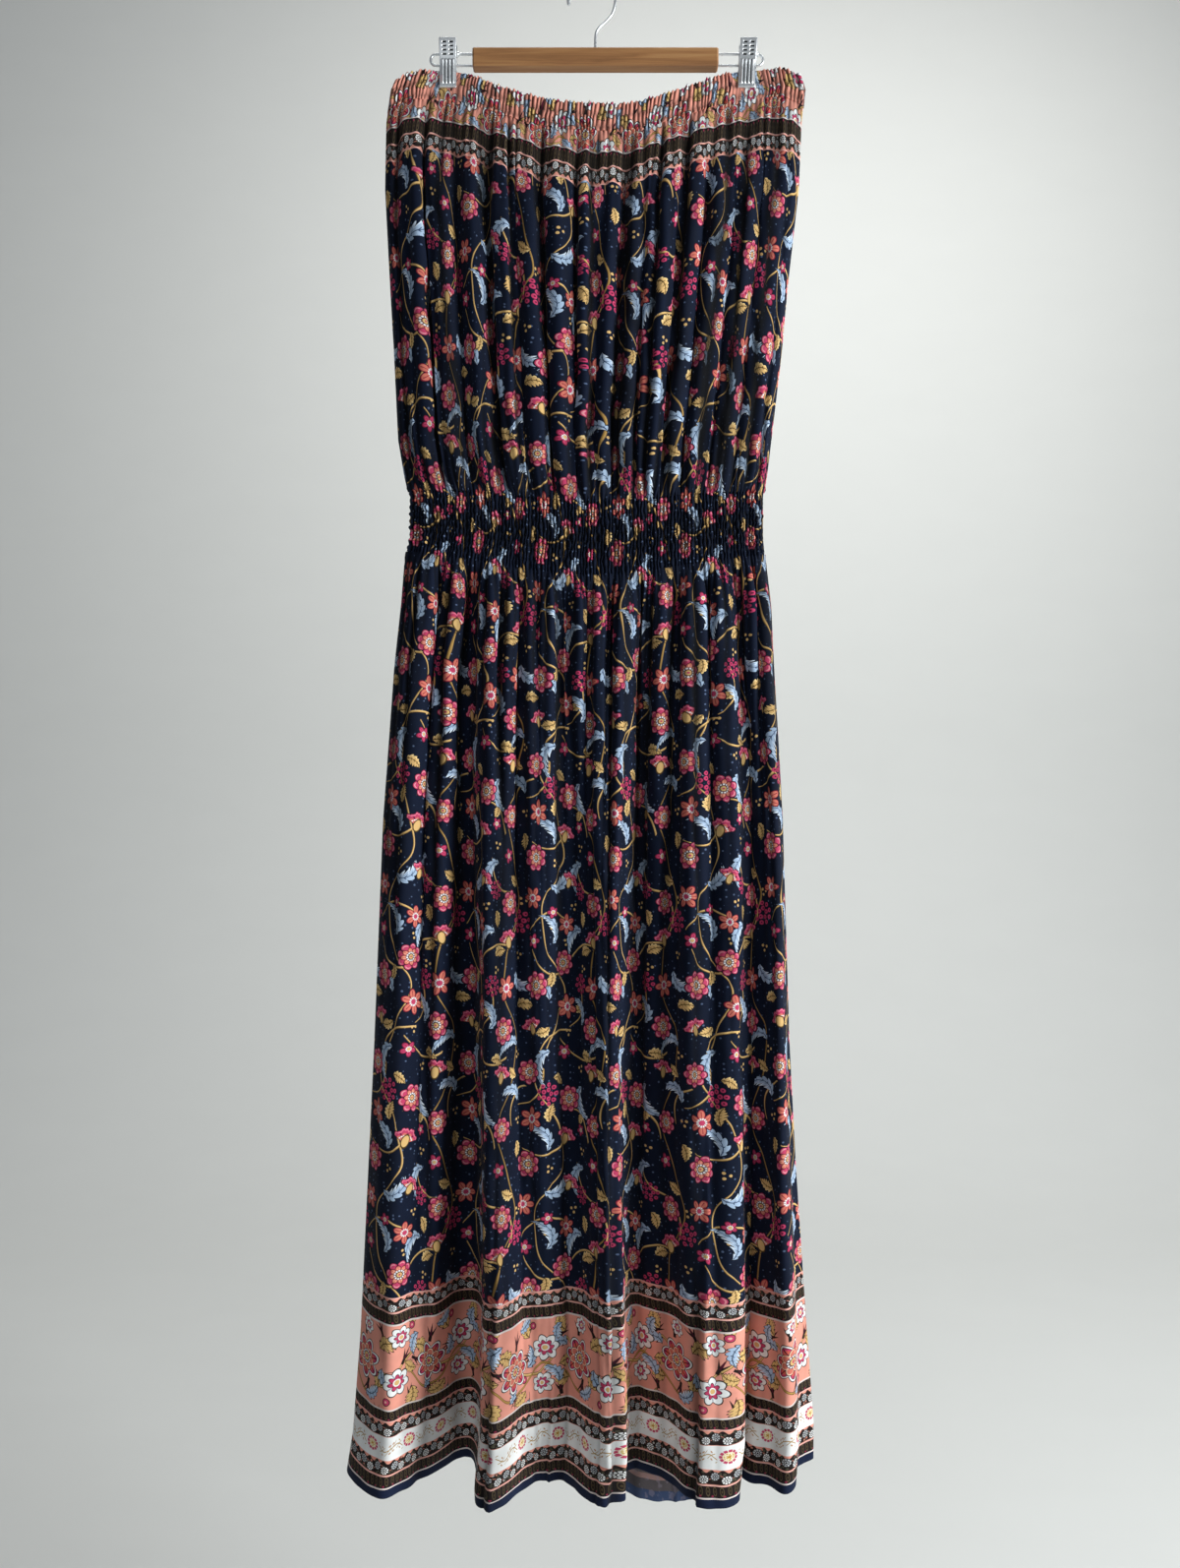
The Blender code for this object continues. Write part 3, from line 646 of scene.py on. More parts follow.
def navy_print():
    """The cloth's main print: climbing stems, leaves and four kinds of flower on navy."""
    design = Print("navy_print", NAVY, enlarged=1.17)
    far, random = design.cells(design.metres, 155.0)
    design.lay("#4d5c78", far.inside(random * 0.17 - 0.02, 0.04) * random.step(0.3, 0.35))
    climbing_stem(design, REPEAT, 36, 13, 0.4, MUSTARD, 0.4)
    climbing_stem(design, REPEAT, 94, 10, 2.6, "#a5824a", 0.32)
    for place in SIDE_STEMS:
        side_stem(design, REPEAT, place, MUSTARD)
    dots = design.nearest(REPEAT, TRIPLE_DOTS)
    design.lay(MUSTARD, design.round_dots(dots, 3, 2.3).inside(1.05))
    here = design.nearest(REPEAT, MUSTARD_LEAVES)
    leaf(design, here, (15.0, 5.3, 0.05), "#e9cb90", MUSTARD, LEAF_BROWN, EDGE_DARK, 0.38, 1.25)
    here = design.nearest(REPEAT, BLUE_LEAVES)
    leaf(design, here, (28.0, 6.6, -0.066), ICE, PALE_BLUE, "#33435f", EDGE_DARK, 0.5, 0.85)
    here = design.nearest(REPEAT, CLUSTERS)
    for count, out, size in ((9, 7.5, 1.7), (5, 3.6, 1.8)):
        far = design.round_dots(here, count, out)
        design.lay("#b93a60", far.inside(size))
        design.lay(PETAL_DARK, far.inside(0.6))
    star_flower(design, design.nearest(REPEAT, SMALL_FLOWERS), 5, 6.2, CRIMSON, "#8a2144", MUSTARD)
    star_flower(design, design.nearest(REPEAT, STARS), 6, 10.3, ORANGE, "#8e2438", CRIMSON)
    fan_flower(design, design.nearest(REPEAT, FANS), 11.2)
    bloom(design, design.nearest(REPEAT, BLOOMS), 10.7)
    return design.finish()


# The repeat of the coral print, and where its motifs lie in it.
CORAL_REPEAT = (150.0, 73.0)
ROSES = ((22, 114, 0, 1.0), (97, 110, 40, 1.0))
WHITE_FLOWERS = (
    (58, 100, 15, 1.0), (134, 124, -20, 1.0), (60, 139, 0, 0.8), (132, 92, 30, 0.8),
    (24, 143, 10, 0.6),
)
CORAL_LEAVES = (
    (40, 128, 60, 1.4), (8, 94, 200, 1.3), (74, 92, 300, 1.3), (118, 134, 140, 1.5),
    (146, 108, 20, 1.4), (114, 88, 240, 1.3), (40, 94, 100, 1.2), (76, 128, 10, 1.4),
    (2, 136, 150, 1.2), (78, 108, 190, 1.0),
)
CORAL_BLUE_LEAVES = (
    (44, 112, 250, 1.3), (80, 138, 190, 1.2), (116, 108, 20, 1.2), (146, 92, 70, 1.3),
    (4, 122, 110, 1.2), (24, 86, 330, 1.2), (90, 86, 20, 1.1), (104, 143, 330, 1.1),
    (148, 144, 200, 1.0),
)
SPRIGS = (
    (20, 137, 90, 1.3), (27, 93, 260, 1.4), (97, 90, 270, 1.4), (98, 132, 80, 1.4),
    (64, 118, 60, 1.3), (120, 118, 200, 1.3), (148, 134, 40, 1.3), (76, 116, 330, 1.1),
    (42, 143, 120, 1.3), (148, 84, 100, 1.3), (72, 84, 80, 1.2),
)
BUDS = (
    (36, 106, 0, 1.0), (72, 146, 0, 1.0), (112, 98, 0, 1.0), (6, 108, 0, 0.8), (122, 144, 0, 1.0),
    (50, 84, 0, 1.0),
)


def sprig(design, here):
    """A dark spray of three pointed leaves."""
    x, y = design.split(here)
    far = y.abs()
    side = (far - x * 0.55).abs()
    out = x.larger(0.0)
    design.lay(DARK_BROWN, side.inside(out * -0.16 + 1.15) * x.step(0.2, 0.8) * x.inside(6.5))
    design.lay(DARK_BROWN, far.inside(out * -0.13 + 1.2) * x.step(-3.6, -3.0) * x.inside(9.0))
    design.lay(PETAL_DARK, far.inside(0.45) * x.step(0.2, 0.8) * x.inside(6.5))


def rings(design, r, lobe, rows):
    """Lobed rings: colour, swing of the lobes, reach, and the part of each lobe that is laid."""
    for text, swing, reach, *part in rows:
        mask = r.inside(lobe * swing + reach if swing else reach)
        design.lay(text, mask * lobe.step(*part) if part else mask)


# Rings of the coral print's flowers, as rows of the function above.
WHITE_RINGS = (
    (DARK_BROWN, 3.4, 9.3),
    (OFF_WHITE, 3.4, 8.3),
    ("#8d93a0", 3.4, 7.8, 0.3, 0.14),
    (PETAL_DARK, 3.0, 4.4),
    (CRIMSON, 3.0, 3.6, 0.15, 0.35),
    (OFF_WHITE, 0, 3.2),
    (MUSTARD, 0, 2.2),
)
ROSE_RINGS = (
    (DARK_BROWN, 6.0, 12.6),
    (OFF_WHITE, 6.0, 11.7),
    (PETAL_DARK, 6.4, 9.8),
    (CRIMSON, 6.5, 8.9, 0.2, 0.4),
    ("#d2604f", 7.0, 6.4, 0.55, 0.75),
    (PETAL_DARK, 6.5, 8.9, 0.985, 0.998),
)
ROSE_HEART = (
    (DARK_BROWN, 3.4, 8.4),
    ("#e7c4a8", 3.4, 7.7),
    (ORANGE, 3.4, 6.7, 0.15, 0.4),
    (PETAL_DARK, 0, 5.9),
)


def coral_print():
    """The coral band and casing: winding stems, leaves, white flowers and roses."""
    design = Print("coral_print", CORAL)
    climbing_stem(design, CORAL_REPEAT, 114, 15, 1.0, DARK_BROWN, 1.25, upright=False)
    climbing_stem(design, CORAL_REPEAT, 114, 15, 1.0, MUSTARD, 0.8, upright=False)
    climbing_stem(design, CORAL_REPEAT, 98, 11, 2.8, DARK_BROWN, 1.05, upright=False)
    climbing_stem(design, CORAL_REPEAT, 98, 11, 2.8, "#b08a4c", 0.65, upright=False)
    sprig(design, design.nearest(CORAL_REPEAT, SPRIGS))
    here = design.nearest(CORAL_REPEAT, CORAL_LEAVES)
    leaf(design, here, (15.0, 5.6, 0.05), "#d9b66f", MUSTARD, LEAF_BROWN, DARK_BROWN, 0.4, 1.25)
    here = design.nearest(CORAL_REPEAT, CORAL_BLUE_LEAVES)
    leaf(design, here, (16.5, 5.2, -0.07), ICE, PALE_BLUE, "#2f3b50", DARK_BROWN, 0.5, 1.1)
    bud = design.nearest(CORAL_REPEAT, BUDS).length()
    for text, size in ((DARK_BROWN, 3.6), (CRIMSON, 2.9), ("#e3a99b", 1.1)):
        design.lay(text, bud.inside(size))
    r, angle = design.polar(design.nearest(CORAL_REPEAT, WHITE_FLOWERS))
    rings(design, r, design.lobes(angle, 7), WHITE_RINGS)
    r, angle = design.polar(design.nearest(CORAL_REPEAT, ROSES))
    rings(design, r, design.lobes(angle, 7, 0.6), ROSE_RINGS)
    rings(design, r, design.lobes(angle, 7, 0.6 + np.pi / 2), ROSE_HEART)
    design.lay(OFF_WHITE, (r - 4.7).abs().inside(0.7) * design.lobes(angle, 13).step(0.4, 0.7))
    design.lay(MUSTARD, r.inside(3.2))
    design.lay(CRIMSON, r.inside(1.5))
    return design.finish()


def chain():
    """A dark band of narrow tan loops with a row of small crimson dots."""
    design = Print("chain", DARK_BROWN)
    x = design.u.wrap(2.3)
    y = (design.w - 0.56) * 9.0
    lean = x + y * 0.14
    loop = (lean * lean * 0.62 + y * y * 0.075).root()
    design.lay(TAN, (loop - 0.9).abs().inside(0.13, 0.12))
    design.lay("#493c28", design.join(lean, y * 0.5).length().inside(0.5, 0.2))
    dot = design.join(design.u.wrap(3.8), (design.w - 0.14) * 9.0).length()
    design.lay("#8d2b46", dot.inside(0.75))
    return design.finish()


def vine():
    """A dark strip of dotted white flower heads and small leaves under coral tongues."""
    design = Print("vine", DARK_BROWN)
    y = (design.w - 0.5) * 11.5
    field = design.join(design.u, y)
    far, random = design.cells(field, 0.42)
    design.lay("#4d4a3c", random.step(0.45, 0.47) * far.inside(0.40, 0.05))
    design.lay("#c27f6d", random.step(0.86, 0.88) * far.inside(0.36, 0.05))
    design.lay("#a9a9a6", random.step(0.94, 0.95) * far.inside(0.34, 0.05))
    winding = (design.u * 0.42).sin() * 1.9
    design.lay("#b9786a", (y - winding).abs().inside(0.28, 0.12))
    tongue = (design.u * 0.42 + 0.6).sin().abs()
    design.lay(CORAL, (5.75 - y).inside(tongue * tongue * 2.3 + 0.2, 0.15))
    design.lay(CORAL, (y + 5.75).inside(0.4, 0.15))
    for shift, rise, text in ((0.0, 0.7, "#b4b7ba"), (7.5, -2.0, "#e6e6e4")):
        head = design.join((design.u - shift).wrap(7.5), y - rise)
        r, angle = design.polar(head)
        design.lay(DARK_BROWN, r.inside(3.5))
        dashes = design.lobes(angle, 9).step(0.35, 0.6)
        design.lay(text, (r - 2.3).abs().inside(0.62, 0.1) * dashes)
        design.lay(text, (r - 0.9).abs().inside(0.25, 0.12))
    return design.finish()


def white_band():
    """Ring flowers of crimson dashes with pale hearts, and fine beige sprigs between them."""
    design = Print("white_band", OFF_WHITE)
    y = (design.w - 0.5) * 20.5
    x = design.u.wrap(18.5)
    sway = (x * 0.34).sin() * 2.9
    away = x.abs().step(6.8, 7.6)
    design.lay("#a5823f", (y - sway).abs().inside(0.42, 0.15) * away)
    twig = (y - sway - x.wrap(2.9) * 1.3).abs()
    design.lay("#ab8a4b", twig.inside(0.38, 0.15) * away * (y - sway).abs().inside(3.6))
    buds = design.join(x.wrap(2.9) - 0.3, (y - sway).abs() - 3.1)
    design.lay("#b98f6a", buds.length().inside(0.8) * x.abs().step(8.2, 9.0))
    here = design.join(x, y - 0.8)
    r, angle = design.polar(here)
    outer_dashes = design.lobes(angle, 11).step(0.3, 0.55)
    design.lay("#c3566f", r.inside(6.0) * r.step(4.9, 5.1) * outer_dashes)
    design.lay("#ece2c6", r.inside(5.0))
    design.lay(CRIMSON, (r - 4.6).abs().inside(0.75) * design.lobes(angle, 11).step(0.14, 0.34))
    speck, _ = design.cells(here, 0.6, 0.6)
    design.lay("#cfae5c", r.inside(3.3) * speck.inside(0.4, 0.08))
    design.lay("#b9812f", r.inside(1.0))
    return design.finish()


# The wrong side, where the print shows through faintly: height in metres where each tone starts.
WRONG_SIDE = (
    (0.0, "#2f3c58"),
    (0.009, "#4a4446"),
    (0.020, "#8a6d68"),
    (0.022, "#58504f"),
    (0.0335, "#b9b7b4"),
    (0.054, "#58504f"),
    (0.077, "#b98b80"),
    (0.150, "#58504f"),
    (0.175, "#3a4259"),
    (1.163, "#6a6264"),
    (1.197, "#b98b80"),
)


# Height over which those tones are spread, a little more than the cloth's own.
TONES_HEIGHT = 1.3


def wrong_side():
    design = Print("wrong_side", "#3a4259")
    stops = [(height / TONES_HEIGHT, text) for height, text in WRONG_SIDE]
    design.base = ramp(design.tree, design.v * (MM / TONES_HEIGHT), stops, "CONSTANT")
    design.lay("#7d7480", design.noise(0.09, 2.0).step(0.58, 0.66) * 0.35)
    return design.finish()


PRINTS = (navy_print, coral_print, chain, vine, white_band, wrong_side)
PLAIN = {"hem_navy": HEM_NAVY, "white_line": "#d8cbc6", "pink_line": PINK_LINE}
LOOKS = {make.__name__: make() for make in PRINTS}
LOOKS.update({name: Print(name, ground).finish() for name, ground in PLAIN.items()})


# Thickness of the cloth, of the turned hem and of the casing with its elastic.
CLOTH = 0.9
HEM_TURN = 11.0
HEM_THICK = 1.9
CASING_THICK = 2.2
# Width of the cloth of one panel, which the gathers draw in, in metres: 17 ring flowers show
# across the border of the front, 37 mm apart, and a fold is taken to hide one more.
PANEL_WIDTH = 0.67
# Height of the cloth in the shirred band and in what shows of the casing, in metres.
WAIST_LENGTH, CASING_HEIGHT = 0.064, 0.026
# Height of the skirt's cloth above its border, and of the bodice's cloth, in millimetres.
SKIRT_LENGTH, BODICE_LENGTH = 650.0, 325.0

SKIRT_STEPS = {"front": 11, "back": 15}
BODICE_STEPS = {"front": 13, "back": 18}
WAIST_COLUMNS, CASING_COLUMNS = 700, 760
WAIST_GATHERS, CASING_GATHERS = 104, 102
# Puffs of the waist, one above another between rows of elastic, and rows of mesh in each.
SHIRR_ROWS, SHIRR_STEPS = 9, 5
# Spacing of the casing's two rows of stitches, below its edge.
CASING_STITCH = 10.6
# Faces that meet at more than this angle, in radians, are shaded with a crease.
CLOTH_CREASE, HARD_CREASE = 1.25, 0.9

# Border at the hem, upwards from the edge: height where the band ends, look, rows of mesh.
HEM_BANDS = (
    (8.0, "hem_navy", 4),
    (9.4, "white_line", 1),
    (19.2, "chain", 3),
    (20.4, "pink_line", 1),
    (33.5, "vine", 2),
    (54.0, "white_band", 3),
    (66.6, "vine", 2),
    (67.8, "pink_line", 1),
    (76.2, "chain", 2),
    (77.6, "white_line", 1),
    (150.0, "coral_print", 9),
    (151.6, "white_line", 1),
    (161.0, "chain", 2),
    (162.2, "pink_line", 1),
    (173.8, "vine", 2),
    (175.0, "pink_line", 1),
)
# Border below the casing, downwards: depth where the band ends, look, rows of mesh.
TOP_BANDS = (
    (19.0, "coral_print", 6),
    (20.2, "white_line", 1),
    (34.2, "chain", 4),
    (35.4, "pink_line", 1),
    (49.4, "vine", 4),
    (50.6, "pink_line", 1),
)


def band_rows(bands):
    """Row positions of the bands, and for each row of faces its look and its place in the band."""
    edges, looks, places = [0.0], [], []
    for end, look, rows in bands:
        first = edges[-1]
        edges += list(np.linspace(first, end, rows + 1)[1:])
        looks += [look] * rows
        places += [(k / rows, (k + 1) / rows) for k in range(rows)]
    return np.array(edges), looks, places


def catmull_rom(a, b, c, d, steps):
    """Points of the curve pieces from b to c, whose neighbours are a and d."""
    t = (np.arange(steps) / steps)[:, None, None]
    curve = 0.5 * (
        2 * b + (c - a) * t + (2 * a - 5 * b + 4 * c - d) * t**2 + (3 * b - a - 3 * c + d) * t**3
    )
    return curve.transpose(1, 0, 2).reshape(-1, b.shape[1])


def spline(points, steps):
    """A closed Catmull-Rom curve through the points."""
    before, after, later = (np.roll(points, shift, axis=0) for shift in (1, -1, -2))
    return catmull_rom(before, points, after, later, steps)


def ring(lines, v, steps):
    """One section as left-to-right rows of across-share and depth for the front and the back."""
    front = np.column_stack(lines("front", v))
    back = np.column_stack(lines("back", v))
    loop = np.concatenate([front, back[-2:0:-1]])
    parts = {}
    for side in SIDES:
        curve = spline(loop, steps[side])
        last = (len(front) - 1) * steps[side]
        index = np.arange(last + 1)
        if side == "back":
            index = np.concatenate([np.arange(last, len(curve)), [0]])[::-1]
        parts[side] = curve[index]
    return parts


def gathers(share, count, seed, lean=0.0, crease=1.5):
    """Uneven gathers: height and hollow from 0 to 1, and cloth hidden in them, in radians."""
    random = np.random.default_rng(seed)
    start = random.uniform(0, 2 * np.pi, 5)
    t = 2 * np.pi * share / 100
    phase = count * t + start[0] + lean
    phase = phase + 1.1 * np.sin(5 * t + start[1]) + 0.8 * np.sin(11 * t + start[2])
    phase = phase + 0.5 * np.sin(count * 0.37 * t + start[3])
    height = 0.72 + 0.28 * np.sin(count * 0.21 * t + start[4])
    hollow = 0.5 - 0.5 * np.cos(phase)
    turn = (phase + np.pi) % (2 * np.pi) - np.pi
    taken = -turn * (1 - (turn / np.pi) ** 6)
    return height * (1 - hollow**crease), hollow ** (1.6 * crease), taken


def summed(kinds):
    """Relief, shade and shift of the print from several kinds of gathers.

    A kind's row: relief, shade, part of the print hidden, where it shows, and its gathers.
    """
    raised, shade, shift = 0, 0, 0
    for relief, dark, hidden, part, share, count, *more in kinds:
        ridge, hollow, taken = gathers(share, count, *more)
        raised = raised + relief * ridge * part
        shade = shade + dark * hollow * part
        shift = shift + hidden * taken * part / (2 * np.pi * count)
    return raised, shade, shift


def drift(share, z, seed, reach=34.0, fall=150.0):
    """Slight, mostly upright unevenness of hanging cloth, from -1 to 1."""
    random = np.random.default_rng(seed)
    total = 0
    for weight in (0.5, 0.3, 0.2):
        a, b, c = random.uniform(0.6, 1.4, 3)
        total = total + weight * np.sin(
            2 * np.pi * (share * 3.6 * a / reach + z * b / fall + c)
            + 1.3 * np.sin(2 * np.pi * (z * c / (0.6 * fall) + share * 3.6 / 90))
        )
        reach, fall = reach * 0.6, fall * 0.6
    return total


def falling(distance, reach):
    return np.exp(-distance / reach)


def outward_normals(points, side):
    """Unit vectors out of a grid of columns from left to right and rows from the top down."""
    along_row = np.gradient(points, axis=1)
    down = np.gradient(points, axis=0)
    normal = np.cross(along_row, down) * OUTWARDS[side]
    return normal / np.maximum(np.linalg.norm(normal, axis=2), 1e-9)[:, :, None]


def closed_faces(rows, columns):
    """Faces of a closed sheet: its outer grid, its inner grid, and its four edges."""
    count = rows * columns
    grid = np.arange(count).reshape(rows, columns)
    a, b, c, d = grid[:-1, :-1], grid[1:, :-1], grid[1:, 1:], grid[:-1, 1:]
    out = np.stack([a, b, c, d], axis=-1).reshape(-1, 4)
    edges = (
        (grid[0, :-1], grid[0, 1:]),
        (grid[-1, 1:], grid[-1, :-1]),
        (grid[1:, 0], grid[:-1, 0]),
        (grid[:-1, -1], grid[1:, -1]),
    )
    rims = [np.column_stack([one, two, two + count, one + count]) for one, two in edges]
    return np.concatenate([out, out[:, ::-1] + count, *rims])


def new_object(name, data):
    made = bpy.data.objects.new(name, data)
    bpy.context.scene.collection.objects.link(made)
    return made


def new_piece(name, mesh, nodes, sharp):
    """Puts a mesh in the scene in place of these nodes of the frame."""
    mesh.shade_smooth()
    mesh.set_sharp_from_angle(angle=sharp)
    piece = new_object(name, mesh)
    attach(piece, "root")
    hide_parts(*nodes)
    return piece


def shell(name, side, outer, inner, cloth_uv, shade, looks, places, nodes):
    """A closed thin shell between two grids, with a look for each row of its faces."""
    rows, columns = outer.shape[:2]
    faces = closed_faces(rows, columns)
    face_row = np.repeat(np.arange(rows - 1), columns - 1)
    top, low = np.zeros(columns - 1, int), np.full(columns - 1, rows - 2)
    seam = np.arange(rows - 1)
    of_row = np.concatenate([face_row, face_row, top, low, seam, seam])
    if side == "back":
        faces = faces[:, ::-1]
    mesh = bpy.data.meshes.new(name)
    points = np.concatenate([outer.reshape(-1, 3), inner.reshape(-1, 3)]) * MM
    points[:, 0] += MIDDLE * MM
    mesh.from_pydata(points.tolist(), [], faces.tolist())

    names = list(dict.fromkeys(looks)) + ["wrong_side"]
    for look in names:
        mesh.materials.append(LOOKS[look])
    index = np.array([names.index(look) for look in looks])[of_row]
    index[len(face_row) : 2 * len(face_row)] = len(names) - 1
    mesh.polygons.foreach_set("material_index", index.astype(np.int32))

    corner_row, corner_column = np.divmod(faces.reshape(-1) % (rows * columns), columns)
    corner_face_row = np.repeat(of_row, 4)
    place = np.array(places)[corner_face_row]
    lower = corner_row > corner_face_row
    # The band layer's first value is painted shade, which the prints darken their colour by; its
    # second is the place in the band.
    shade = np.clip(shade, 0, 1)[corner_row, corner_column]
    band = np.column_stack([shade, np.where(lower, place[:, 1], place[:, 0])])
    for layer, uv in (("cloth", cloth_uv[corner_row, corner_column]), ("band", band)):
        made = mesh.uv_layers.new(name=layer)
        made.data.foreach_set("uv", uv.astype(np.float32).reshape(-1))
    mesh.update()
    return new_piece(name, mesh, nodes, CLOTH_CREASE)


def seam_rounded(share, reach=1.2):
    """0 at the side seams and 1 further in."""
    return ease(np.minimum(share, 100 - share) / reach)


def arc_along(points):
    steps = np.linalg.norm(np.diff(points[:, :2], axis=0), axis=1)
    total = np.concatenate([[0], np.cumsum(steps)])
    return total / total[-1]


def keep_seam_gap(points):
    """Moves the first and last columns in from the seam by half its gap."""
    for column, step in ((0, 1), (-1, -2)):
        way = points[:, step] - points[:, column]
        way[:, 2] = 0
        way /= np.linalg.norm(way, axis=1)[:, None]
        points[:, column] += way * SEAM_GAP / 2
    return points


def place_at(share, depth, z):
    return np.stack([across(share, z), depth, z], axis=-1)


def skirt_grid():
    """Both skirt panels: points, share under the waist, and height of the cloth above the hem."""
    edges, looks, places = band_rows(HEM_BANDS)
    # Closer together round the folded edge.
    edges[1:4] = (0.7, 2.2, 5.0)
    border = edges[-1]
    widening = np.linspace(0, 1, 60)[1:] ** 1.25
    upper = np.concatenate([[0, 2, 5, 9], 9 + widening * (SKIRT_LENGTH - 9)])
    rows = [("upper", down / SKIRT_LENGTH) for down in upper]
    rows += [("border", height) for height in edges[-2::-1]]
    heights = np.array(
        [border + SKIRT_LENGTH * (1 - value) if kind == "upper" else value for kind, value in rows]
    )
    panels = {}
    for side in SIDES:
        grid = []
        for kind, value in rows:
            if kind == "upper":
                v = value * (1 - border / (SKIRT_LENGTH + border))
            else:
                v = 1 - value / (SKIRT_LENGTH + border)
            section = ring(skirt_lines, v, SKIRT_STEPS)[side]
            share, depth = section[:, 0], section[:, 1]
            top, low = skirt_span(side, share)
            if kind == "upper":
                z = top + (low + border - top) * value
            else:
                z = low + value
            to_waist = 1 - ease((top - z) / 30)
            waist = oval(np.clip(share, 0, 100), WAIST_DEPTH[side])
            grid.append(place_at(share, depth + (waist - depth) * to_waist, z))
        share_at_waist = ring(skirt_lines, 0.0, SKIRT_STEPS)[side][:, 0]
        panels[side] = (np.array(grid), share_at_waist, heights)
    upper_looks = ["navy_print"] * (len(upper) - 1)
    upper_places = [(0.0, 1.0)] * (len(upper) - 1)
    # Bands run upwards, and rows run down, so each row's place in its band is turned over.
    down_looks = upper_looks + looks[::-1]
    down_places = upper_places + [(high, low) for low, high in places[::-1]]
    return panels, down_looks, down_places


# Where a fold of the front skirt overlaps its neighbour: share, step outwards in mm and reach of
# the raised side in shares, and height above the hem where it has faded.
FOLD_EDGES = (
    (27.0, 9.0, 9.0, 420.0), (38.5, 3.5, 5.0, 260.0), (59.0, 10.0, 10.0, 520.0),
    (81.0, 8.0, 7.0, 480.0),
)


def fold_steps(side, share, z, height):
    """How far folds stand out over the cloth on their left, and the shade they throw on it."""
    total, shade = 0 * share, 0 * share
    if side == "back":
        return total, shade
    for place, step, reach, top in FOLD_EDGES:
        past = share - place - 0.6 * np.sin(z / 90)
        fade = 1 - ease(height / top)
        on, under = ease(past / 0.9 + 0.5), ease(0.5 - past / 0.9)
        total = total + step * on * falling(np.maximum(past, 0), reach) * fade
        shade = shade + 0.07 * step * under * falling(-np.minimum(past, 0), 1.8) * fade
    return total, shade


def make_skirt():
    """Both panels of the skirt, with their gathers fading down from the waist."""
    panels, looks, places = skirt_grid()
    cloth_at = {}
    for side, (points, waist_share, heights) in panels.items():
        keep_seam_gap(points)
        normal = outward_normals(points, side)
        share = np.broadcast_to(waist_share, points.shape[:2])
        below = points[:1, :, 2] - points[:, :, 2]
        seed = SEEDS[side]
        lean = 0.9 * drift(share, points[:, :, 2], seed + 5, reach=60, fall=420)
        steps, step_shade = fold_steps(side, share, points[:, :, 2], heights[:, None])
        under_waist = falling(below, 10)
        small = (1 - falling(below, 8)) * falling(below, 75)
        broad = (1 - falling(below, 26)) * (0.08 + 0.92 * falling(below, 260))
        wide = (1 - falling(below, 90)) * (0.15 + 0.85 * falling(below, 600))
        raised, shade, shift = summed(
            (
                (2.0, 0.9, 0.4, under_waist, share, WAIST_GATHERS, seed),
                (3.2, 0.95, 0.22, small, share, 55, seed + 10, lean * 0.5),
                (5.0, 0.75, 0.17, broad, share, 27, seed + 20, lean, 2.0),
                (4.8, 0.75, 0.15, wide, share, 13, seed + 40, lean, 2.6),
            )
        )
        raised += steps + 0.9 * drift(share, points[:, :, 2], seed + 30) * ease(below / 120)
        shade = shade + step_shade
        raised *= seam_rounded(share, 2.5)
        outer = points + normal * raised[:, :, None]
        flat = normal.copy()
        flat[:, :, 2] *= 0.3
        thick = np.where(heights < HEM_TURN, HEM_THICK, CLOTH)
        inner = outer - flat * thick[:, None, None]
        # The folded edge is round.
        outer[-1] -= normal[-1] * 0.7
        inner[-1] += normal[-1] * 0.7
        inner[-2] += normal[-2] * 0.25
        # Evenly spread at the waist, and along the folded edge at the hem.
        cloth_across = 0.3 * arc_along(points[-1]) + 0.7 * waist_share / 100
        loose = ease(below / below[-1:])
        u = (cloth_across + loose * (arc_along(points[-1]) - cloth_across)) * PANEL_WIDTH
        u = u + PANEL_WIDTH * seam_rounded(share, 2.5) * shift
        v = np.broadcast_to(heights[:, None] * MM, u.shape)
        piece = shell(
            f"skirt_panel_{side}",
            side,
            outer,
            inner,
            np.stack([u, v], axis=-1),
            shade,
            looks,
            places,
            (f"skirt_{side}", f"hem_{side}"),
        )
        heights[0] * MM
        cloth_at[side] = (waist_share, cloth_across)
    return cloth_at, heights[0] * MM


